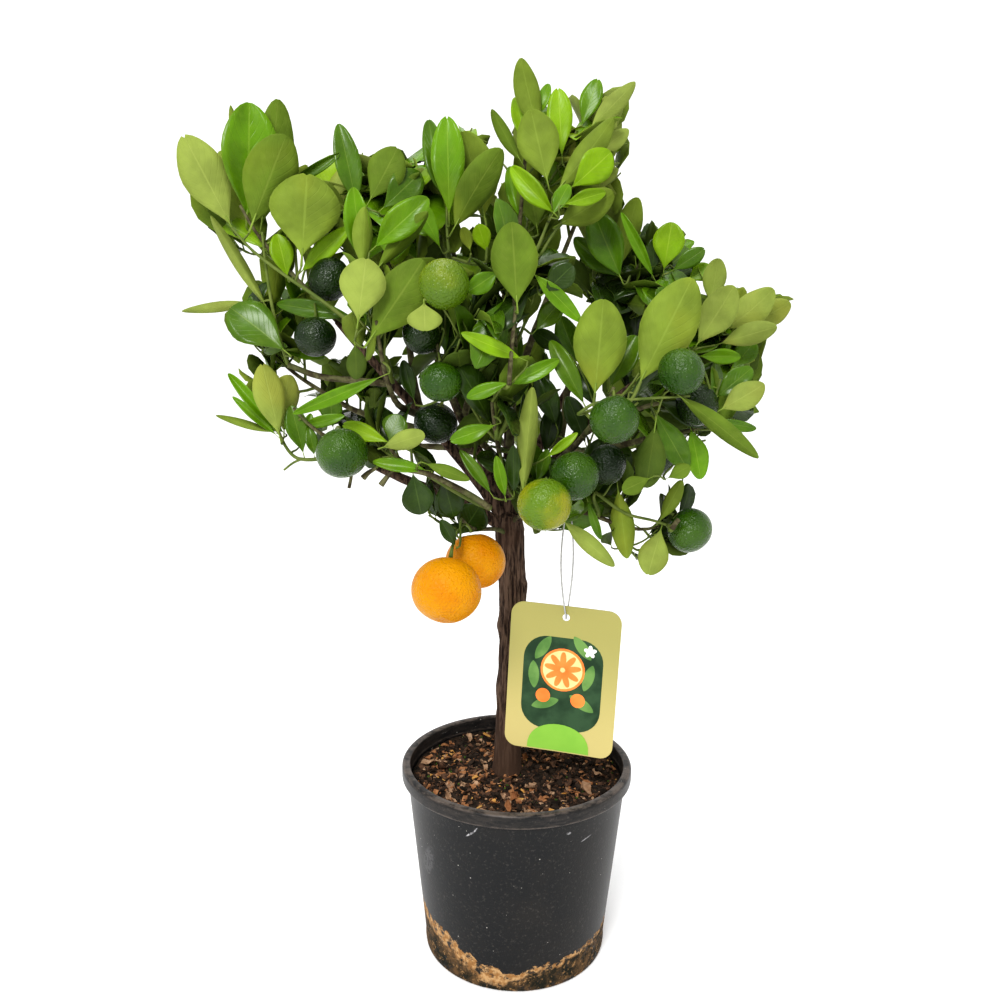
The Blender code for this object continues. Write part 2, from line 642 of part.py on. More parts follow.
class Mass:
    """One mass of foliage: a stem, its shoots, fruit and leaves, fused into one solid."""

    def __init__(self, branch, tree, parts):
        self.branch = branch
        self.tree = tree
        self.parts = parts
        self.name = branch.name
        self.draw = random.Random(branch.seed)
        self.bits = []
        self.shoots = []
        self.start, self.heading = self.find_start()
        self.tip = polar(branch.tip)
        self.room = (self.tip - self.start).length + branch.leaf * ROOM_SHARE

    def find_start(self):
        """Gives the stem's foot, just clear of the bough's tip or of the trunk's bark, and its heading."""
        branch = self.branch
        if branch.bough:
            end, heading, _ = self.tree.paths[branch.name].at(1.0)
            return end + heading * GAP, heading
        foot, _, radius = self.tree.paths["trunk"].at(branch.start)
        heading = (polar(branch.tip) - foot).normalized()
        heading = (heading + UP * 0.25).normalized()
        level = math.hypot(heading.x, heading.y)
        return foot + heading * ((radius + GAP + 0.0008) / level), heading

    def keep(self, item, kind):
        """Keeps a bit for the union and records it as an obstacle to what follows."""
        self.bits.append(item)
        self.tree.obstacles.append(solid_of(item.data, self.name, kind))

    def foreign(self):
        """Lists the obstacles that belong to the limbs, the card and the other masses."""
        return [solid for solid in self.tree.obstacles if solid.owner != self.name]

    def own(self, *kinds):
        """Lists this mass's own bits of the named kinds."""
        return [solid for solid in self.tree.obstacles if solid.owner == self.name and solid.kind in kinds]

    def make_stem(self):
        """Makes the stem that the twigs branch from."""
        arrive = ((self.tip - self.start).normalized() + UP * STEM_RISE).normalized()
        second = self.start + self.heading * STEM_COLLAR
        points = [self.start] + bezier(second, self.heading, self.tip, arrive, STEM_RINGS)
        self.stem = Path(points, taper(STEM_RADIUS, STEM_RINGS + 1))
        self.body = tube(f"foliage_{self.name}", self.stem, self.parts)
        self.tree.obstacles.append(solid_of(self.body.data, self.name, "stem"))

    def make_fruits(self):
        """Makes this mass's fruits as slightly flattened balls."""
        self.fruits = [fruit for fruit in FRUITS if fruit.mass == self.name]
        for number, fruit in enumerate(self.fruits):
            mesh = bpy.data.meshes.new(f"fruit_{self.name}_{number}")
            shape = bmesh.new()
            bmesh.ops.create_uvsphere(shape, u_segments=FRUIT_SEGMENTS[0],
                                      v_segments=FRUIT_SEGMENTS[1], radius=fruit.diameter / 2)
            bmesh.ops.scale(shape, vec=(1.0, 1.0, FRUIT_FLATNESS), verts=shape.verts)
            bmesh.ops.translate(shape, vec=polar(fruit.place), verts=shape.verts)
            shape.to_mesh(mesh)
            shape.free()
            ball = bpy.data.objects.new(mesh.name, mesh)
            self.parts.objects.link(ball)
            self.keep(ball, "fruit")

    def make_stalks(self):
        """Hangs each fruit on the stem by a stalk that leaves it where the way is clear."""
        for number, fruit in enumerate(self.fruits):
            centre, radius = polar(fruit.place), fruit.diameter / 2
            nearest = self.stem.nearest_share(centre + UP * radius)
            balls = self.own("fruit")
            others = self.foreign() + balls[:number] + balls[number + 1:]
            for trial, offset in enumerate(STALK_TRIES):
                root, heading, _ = self.stem.at(min(max(nearest + offset, 0.1), 0.95))
                rise = ((root - centre).normalized() + UP * 0.9).normalized()
                crown = centre + rise * radius
                away = ((crown - root).normalized() + heading * 0.5).normalized()
                route = bezier(root, away, crown, -rise, 3) + [crown.lerp(centre, STALK_DEPTH)]
                path = Path(route, [STALK_RADIUS] * len(route))
                stalk = tube(f"stalk_{self.name}_{number}", path, self.parts)
                if not meets(solid_of(stalk.data, self.name, "stalk", swell=GAP), others):
                    break
                if trial < len(STALK_TRIES) - 1:
                    bpy.data.objects.remove(stalk, do_unlink=True)
            self.keep(stalk, "stalk")

    def make_shoots(self):
        """Branches the side shoots off the stem at the golden angle."""
        branch = self.branch
        turn = self.draw.uniform(0, math.tau)
        length = (self.tip - self.start).length
        others = self.foreign() + self.own("fruit")
        for number in range(branch.shoots):
            low, high = SHOOT_SPAN
            share = low + (high - low) * (number + 0.5) / branch.shoots
            root, heading, _ = self.stem.at(share)
            reach = length * self.draw.uniform(*SHOOT_REACH) + SHOOT_EXTRA
            for trial in range(SHOOT_TRIES):
                angle = SPRAY_ANGLE + self.draw.uniform(*SPRAY_SPREAD)
                way = spread_way(heading, turn + trial * SHOOT_TRY_TURN, angle)
                end = root + (way + UP * SHOOT_RISE).normalized() * reach
                shoot = twig(f"shoot_{self.name}_{number}", root, end, SHOOT_RADIUS, self.parts)
                if not meets(solid_of(shoot.data, self.name, "shoot", swell=LEAF_CLEARANCE), others):
                    self.keep(shoot, "shoot")
                    self.shoots.append((Path([root, end], list(SHOOT_RADIUS)), shoot.data))
                    break
                bpy.data.objects.remove(shoot, do_unlink=True)
            turn += GOLDEN_ANGLE

    def leaf_places(self):
        """Lists where leaves stand: the twig, the share of its route, the turn round it and the lean."""
        twigs = [(self.stem, self.body.data, STEM_LEAVES, STEM_LEAF_SPAN)]
        twigs += [(route, mesh, SHOOT_LEAVES, SHOOT_LEAF_SPAN) for route, mesh in self.shoots]
        for route, mesh, count, (first, last) in twigs:
            turn = self.draw.uniform(0, math.tau)
            for number in range(count):
                depth = number / (count - 1)
                share = last + (first - last) * depth
                lean = LEAF_LEAN[0] + (LEAF_LEAN[1] - LEAF_LEAN[0]) * depth
                yield route, mesh, share, turn, lean
                turn += GOLDEN_ANGLE

    def make_leaves(self):
        """Sets the leaves spirally on the twigs, and skips one that would meet anything else."""
        foreign, bare = self.foreign(), self.own("fruit", "shoot")
        placed = []
        for number, (route, twig_mesh, share, turn, lean) in enumerate(self.leaf_places()):
            root, heading, radius = route.at(share)
            length = self.branch.leaf * LEAF_SCALE * self.draw.uniform(*LEAF_SIZES)
            roll = self.draw.uniform(-LEAF_ROLL, LEAF_ROLL)
            for turn_more, lean_more in LEAF_TRIES:
                out = spread_way(heading, turn + math.radians(turn_more), math.pi / 2)
                out = flat_side(twig_mesh, root, heading, out)
                slope = lean + lean_more
                way = heading * math.cos(slope) + out * math.sin(slope)
                way = (way + UP * LEAF_RISE).normalized()
                foot = root - way * radius * LEAF_SINK
                face = turned_about(heading - way * heading.dot(way), way, roll)
                mesh = leaf_mesh(f"leaf_{self.name}_{number}", foot, way, face, length)
                tip = foot + way * length
                whole = solid_of(mesh, self.name, "leaf", swell=LEAF_CLEARANCE)
                outer = solid_of(mesh, self.name, "leaf", keep_to=tip)
                fits = (tip - self.start).length < self.room and not meets(whole, foreign)
                if fits and not meets(outer, placed) and not meets(outer, bare):
                    item = bpy.data.objects.new(mesh.name, mesh)
                    self.parts.objects.link(item)
                    self.keep(item, "leaf")
                    placed.append(outer)
                    break
                bpy.data.meshes.remove(mesh)
        return len(placed)

    def fuse(self, material):
        """Joins the stem, twigs, fruit and leaves into one solid."""
        boolean(self.body, self.bits, "UNION", spare=SPARE_LEAVES)
        self.body.data.materials.append(material)


def card_placement(tree):
    """Gives the card's place: its eyelet hangs plumb below the bough, and it turns a little."""
    hook, _, _ = tree.paths[CARD_BOUGH].at(CARD_BOUGH_SHARE)
    eyelet = Vector((hook.x, hook.y, EYELET_HEIGHT))
    turn = Matrix.Rotation(CARD_YAW, 4, "Z") @ Matrix.Rotation(CARD_TURN, 4, "Y")
    turn = turn @ Matrix.Rotation(math.radians(90), 4, "X")
    hang = Matrix.Translation((0.0, EYELET_DROP - CARD_SIZE[1] / 2, 0.0))
    return Matrix.Translation(eyelet) @ turn @ hang


def make_card(tree, parts, material):
    """Makes the hanging card: a rounded rectangle with an eyelet near its top edge."""
    curve = bpy.data.curves.new("label_card", "CURVE")
    curve.dimensions = "2D"
    curve.fill_mode = "BOTH"
    curve.extrude = CARD_THICKNESS / 2
    curve.render_resolution_u = 0
    half_width, half_height = CARD_SIZE[0] / 2, CARD_SIZE[1] / 2
    outline = []
    for side_x, side_z, first in ((1, -1, -90), (1, 1, 0), (-1, 1, 90), (-1, -1, 180)):
        for step in range(4):
            angle = math.radians(first + 30 * step)
            outline.append((side_x * (half_width - CARD_CORNER) + CARD_CORNER * math.cos(angle),
                            side_z * (half_height - CARD_CORNER) + CARD_CORNER * math.sin(angle)))
    eyelet = [(EYELET_RADIUS * math.cos(math.radians(-45 * step)),
               half_height - EYELET_DROP + EYELET_RADIUS * math.sin(math.radians(-45 * step)))
              for step in range(8)]
    for ring in (outline, eyelet):
        spline = curve.splines.new("POLY")
        spline.points.add(len(ring) - 1)
        for point, (across, up) in zip(spline.points, ring):
            point.co = (across, up, 0.0, 1.0)
        spline.use_cyclic_u = True
    item = bpy.data.objects.new("label_card", curve)
    parts.objects.link(item)
    item.matrix_world = card_placement(tree)
    card = curve_to_mesh(item, parts)
    card.data.materials.append(material)
    return card


def make_thread(tree, parts, material):
    """Makes the loop of thread that passes through the eyelet and over the bough."""
    hook, heading, _ = tree.paths[CARD_BOUGH].at(CARD_BOUGH_SHARE)
    side = heading.cross(UP).normalized()
    if side.y > 0:
        side = -side
    low = Vector((hook.x, hook.y, EYELET_HEIGHT + THREAD_LOW_SPREAD * 0.6))
    front = Vector((math.sin(CARD_YAW), -math.cos(CARD_YAW), 0.0))
    angles = [math.pi * step / (THREAD_STEPS - 1) for step in range(THREAD_STEPS)]
    points = []
    for angle in angles:
        points.append(low - (front * math.cos(angle) + UP * math.sin(angle)) * THREAD_LOW_SPREAD)
    for angle in angles:
        points.append(hook + (side * math.cos(angle) + UP * math.sin(angle)) * THREAD_SPREAD)
    path = Path(points, [THREAD_RADIUS] * len(points))
    thread = tube("label_thread", path, parts, sides=6, cyclic=True)
    thread.data.materials.append(material)
    return thread


def main():
    """Builds the tree, its pot and its card."""
    clear_scene()
    parts = new_collection("calamondin_orange_tree")
    cutters = new_collection("clearances")
    bark = make_material("bark", (0.115, 0.075, 0.050), 0.85)
    leafage = make_material("foliage", (0.105, 0.235, 0.045), 0.45)
    plastic = make_material("pot_plastic", (0.045, 0.052, 0.058), 0.50)
    compost = make_material("potting_mix", (0.085, 0.050, 0.028), 0.95)
    board = make_material("card_print", (0.450, 0.500, 0.160), 0.35)
    cotton = make_material("thread", (0.800, 0.800, 0.780), 0.80)
    make_pot(parts, plastic)
    make_mix(parts, compost)
    tree = Tree()
    make_limbs(tree, parts, cutters, bark)
    tree.obstacles.append(solid_of(make_card(tree, parts, board).data, "card", "card"))
    tree.obstacles.append(solid_of(make_thread(tree, parts, cotton).data, "card", "thread"))
    masses = [Mass(branch, tree, parts) for branch in BRANCHES]
    for step in (Mass.make_stem, Mass.make_fruits, Mass.make_stalks, Mass.make_shoots):
        for mass in masses:
            step(mass)
    count = sum(mass.make_leaves() for mass in masses)
    for mass in masses:
        mass.fuse(leafage)
    print("leaves:", count)


main()
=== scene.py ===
"""Looks of the potted calamondin orange tree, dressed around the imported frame.

The trunk and boughs get bark with real relief. Each mass of foliage grows again from its bough by the
rule of the part's source, carried on to finer twigs, with thin two-sided leaves and glossy fruit. The
pot, the potting mix and the hanging card are modelled in detail. Metres, +Z up, front along -Y.
"""

import json
import logging
import math
import random
from dataclasses import dataclass, field, replace
from enum import Enum
from typing import Iterator, Optional, Sequence

import bmesh
import bpy
import numpy as np
from mathutils import Matrix, Vector, noise

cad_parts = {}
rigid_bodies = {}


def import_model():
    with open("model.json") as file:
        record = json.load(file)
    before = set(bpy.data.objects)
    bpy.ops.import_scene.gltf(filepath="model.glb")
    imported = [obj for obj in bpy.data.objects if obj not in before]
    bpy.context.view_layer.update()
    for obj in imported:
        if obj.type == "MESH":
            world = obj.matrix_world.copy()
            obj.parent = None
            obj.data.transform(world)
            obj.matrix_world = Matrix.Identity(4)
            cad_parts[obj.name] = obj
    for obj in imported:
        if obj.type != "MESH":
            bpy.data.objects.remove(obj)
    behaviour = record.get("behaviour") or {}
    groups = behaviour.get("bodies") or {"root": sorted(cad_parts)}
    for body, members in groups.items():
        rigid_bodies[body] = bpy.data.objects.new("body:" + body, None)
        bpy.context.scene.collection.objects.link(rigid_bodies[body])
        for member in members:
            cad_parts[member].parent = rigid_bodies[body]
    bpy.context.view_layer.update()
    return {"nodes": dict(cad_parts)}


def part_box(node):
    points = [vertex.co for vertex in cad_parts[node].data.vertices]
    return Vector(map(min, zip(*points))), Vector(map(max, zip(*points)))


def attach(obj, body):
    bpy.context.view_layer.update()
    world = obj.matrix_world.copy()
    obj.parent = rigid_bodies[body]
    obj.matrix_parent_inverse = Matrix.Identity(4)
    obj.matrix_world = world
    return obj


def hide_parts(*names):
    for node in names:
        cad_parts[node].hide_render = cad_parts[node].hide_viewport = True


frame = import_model()

LOG = logging.getLogger("calamondin")
UP = Vector((0.0, 0.0, 1.0))
GOLDEN_ANGLE = math.radians(137.5)
MERGE = 0.000001
BODY = "root"

Place = tuple[float, float, float]
Colour = tuple[float, float, float]
Pixel = tuple[float, float]
Joint = tuple[Vector, Vector, float]

# The fork of the trunk, from which boughs, masses and fruits are placed, as in the part's source
FORK = Vector((-0.009, 0.0, 0.366))


@dataclass(frozen=True)
class Branch:
    """A bough and the mass of foliage on its tip, placed from the fork by bearing, rise and reach.

    parent is the bough that carries it, or the trunk, and start the share of the parent's length
    where it leaves. The number after the seed is the share of its sprays that are young and bright; it is
    set high for masses lit at the top of the crown and low for shaded low and inner ones, which paints
    light and shade into their leaves' colours.
    """

    name: str
    parent: str
    start: float
    end: Place
    tip: Place
    shoots: int
    leaf: float
    seed: int
    # share of young, bright sprays, also painted light and shade: high for lit top masses, low for shaded inner ones
    fresh_and_lit: float
    bough: bool = True


@dataclass(frozen=True)
class FruitPlace:
    """One fruit, hung on the named mass at a bearing, rise and reach from the fork."""

    mass: str
    place: Place
    diameter: float
    ripeness: str


# The number after the seed in each row is painted light and shade as well as youth: high for lit masses at the top, low
# for shaded low and inner ones.
BRANCHES = [
    Branch("left_low", "trunk", 0.93, (-161, 24, 0.135), (-166, 28, 0.186), 3, 0.046, 3, 0.5),
    Branch("left_high", "trunk", 0.95, (-166, 49, 0.200), (-168, 49.5, 0.304), 3, 0.066, 5, 0.8),
    Branch("centre_top", "trunk", 0.97, (-80, 84, 0.175), (-64, 85, 0.291), 4, 0.054, 7, 1.0),
    Branch("right_far", "trunk", 0.94, (-6, 47, 0.152), (-7, 41, 0.218), 3, 0.054, 9, 0.8),
    Branch("back_left_high", "trunk", 0.96, (128, 50, 0.165), (124, 52, 0.240), 3, 0.056, 11, 0.6),
    Branch("back_right_high", "trunk", 0.95, (50, 50, 0.165), (46, 48, 0.240), 3, 0.056, 13, 0.5),
    Branch("left_arm", "left_high", 0.42, (176, 33, 0.168), (178, 35, 0.232), 3, 0.048, 15, 0.6),
    Branch("left_upper", "left_high", 0.55, (178, 63, 0.185), (-176, 66, 0.270), 3, 0.056, 17, 0.7),
    Branch("left_front", "left_high", 0.52, (-136, 42, 0.152), (-128, 47, 0.205), 2, 0.056, 19, 0.6),
    Branch("low_left", "left_low", 0.42, (-135, 27, 0.094), (-132, 28, 0.138), 3, 0.042, 21, 0.3),
    Branch("right_top", "centre_top", 0.50, (2, 80, 0.185), (4, 77, 0.276), 3, 0.054, 23, 0.9),
    Branch("left_top", "centre_top", 0.45, (152, 77, 0.180), (168, 77, 0.268), 3, 0.056, 25, 0.8),
    Branch("centre_high", "centre_top", 0.32, (-86, 62, 0.140), (-88, 58, 0.200), 3, 0.054, 27, 0.4),
    Branch("centre_front", "centre_top", 0.12, (-95, 42, 0.075), (-96, 44, 0.140), 2, 0.056, 29, 0.2),
    Branch("front_left", "centre_top", 0.20, (-122, 52, 0.112), (-117, 52, 0.172), 2, 0.050, 31, 0.3),
    Branch("right_high", "right_far", 0.40, (22, 66, 0.158), (16, 62, 0.228), 3, 0.054, 33, 0.3),
    Branch("right_front", "right_far", 0.30, (-52, 40, 0.124), (-57, 40, 0.168), 3, 0.060, 35, 0.5),
    Branch("right_low", "right_far", 0.38, (-30, 31, 0.134), (-27, 28, 0.186), 3, 0.050, 37, 0.6),
    Branch("right_mid", "right_far", 0.55, (24, 34, 0.152), (19, 29, 0.212), 3, 0.052, 39, 0.6),
    Branch("back_left_low", "back_left_high", 0.38, (146, 24, 0.130), (144, 24, 0.200), 3, 0.052, 41, 0.4),
    Branch("back_top", "back_left_high", 0.58, (98, 64, 0.172), (92, 62, 0.242), 3, 0.054, 43, 0.7),
    Branch("back_low", "back_right_high", 0.30, (96, 26, 0.120), (95, 24, 0.190), 3, 0.052, 45, 0.4),
    Branch("back_right_low", "back_right_high", 0.42, (48, 20, 0.125), (46, 18, 0.195), 3, 0.052, 47, 0.4),
    Branch("low_right", "right_far", 0.16, (-47, 11, 0.080), (-26, 2, 0.124), 3, 0.042, 49, 0.3),
    Branch("low_front", "trunk", 0.96, (-72, 22, 0.020), (-66, 20, 0.080), 2, 0.044, 51, 0.3, False),
    Branch("low_hanging", "trunk", 0.92, (-118, 20, 0.020), (-116, 8, 0.076), 3, 0.034, 53, 0.0, False),
]

FRUITS = [
    FruitPlace("left_high", (-165, 53, 0.226), 0.0320, "dark"),
    FruitPlace("left_high", (-158, 43, 0.204), 0.0300, "dark"),
    FruitPlace("left_low", (-138, 22.2, 0.163), 0.0354, "green"),
    FruitPlace("front_left", (-109, 54, 0.214), 0.0325, "bright"),
    FruitPlace("front_left", (-123, 53, 0.178), 0.0284, "dark"),
    FruitPlace("front_left", (-114, 45, 0.156), 0.0288, "green"),
    FruitPlace("front_left", (-134, 46, 0.109), 0.0319, "dark"),
    FruitPlace("low_front", (-79, 14, 0.136), 0.0358, "turning"),
    FruitPlace("low_front", (-66, 23, 0.123), 0.0338, "green"),
    FruitPlace("low_front", (-47, 27, 0.115), 0.0296, "dark"),
    FruitPlace("right_front", (-64, 30, 0.179), 0.0315, "green"),
    FruitPlace("right_low", (-47, 36, 0.203), 0.0303, "green"),
    FruitPlace("right_low", (-31, 32, 0.180), 0.0304, "dark"),
    FruitPlace("low_right", (-24, 1, 0.146), 0.0335, "green"),
    FruitPlace("low_hanging", (-108.3, -12.6, 0.1295), 0.0478, "ripe"),
    FruitPlace("low_hanging", (-107.2, -14.6, 0.079), 0.0440, "ripe"),
    FruitPlace("back_left_low", (136, 14, 0.170), 0.0330, "green"),
    FruitPlace("back_low", (84, 18, 0.165), 0.0345, "bright"),
    FruitPlace("back_right_low", (36, 12, 0.165), 0.0320, "dark"),
    FruitPlace("back_left_high", (112, 44, 0.210), 0.0310, "green"),
    FruitPlace("back_right_high", (58, 40, 0.205), 0.0325, "green"),
]


class Tone(Enum):
    """How old a leaf is, and how much light or shade is painted on it, which settles the colours of its two sides."""

    LIME = 0
    FRESH = 1
    MID = 2
    DARK = 3


class Side(Enum):
    """The side of a leaf that faces the viewer."""

    UPPER = 1
    UNDER = -1


@dataclass(frozen=True)
class SeenLeaf:
    """A leaf that the photograph shows plainly, placed by the pixels of its foot and its tip.

    width is in pixels as well. ahead is how far its foot stands nearer the viewer than the tip of its
    mass, in metres.
    """

    mass: str
    foot: Pixel
    tip: Pixel
    width: float
    # its colours, with the light and shade on it painted in
    tone: Tone
    side: Side = Side.UNDER
    ahead: float = 0.0
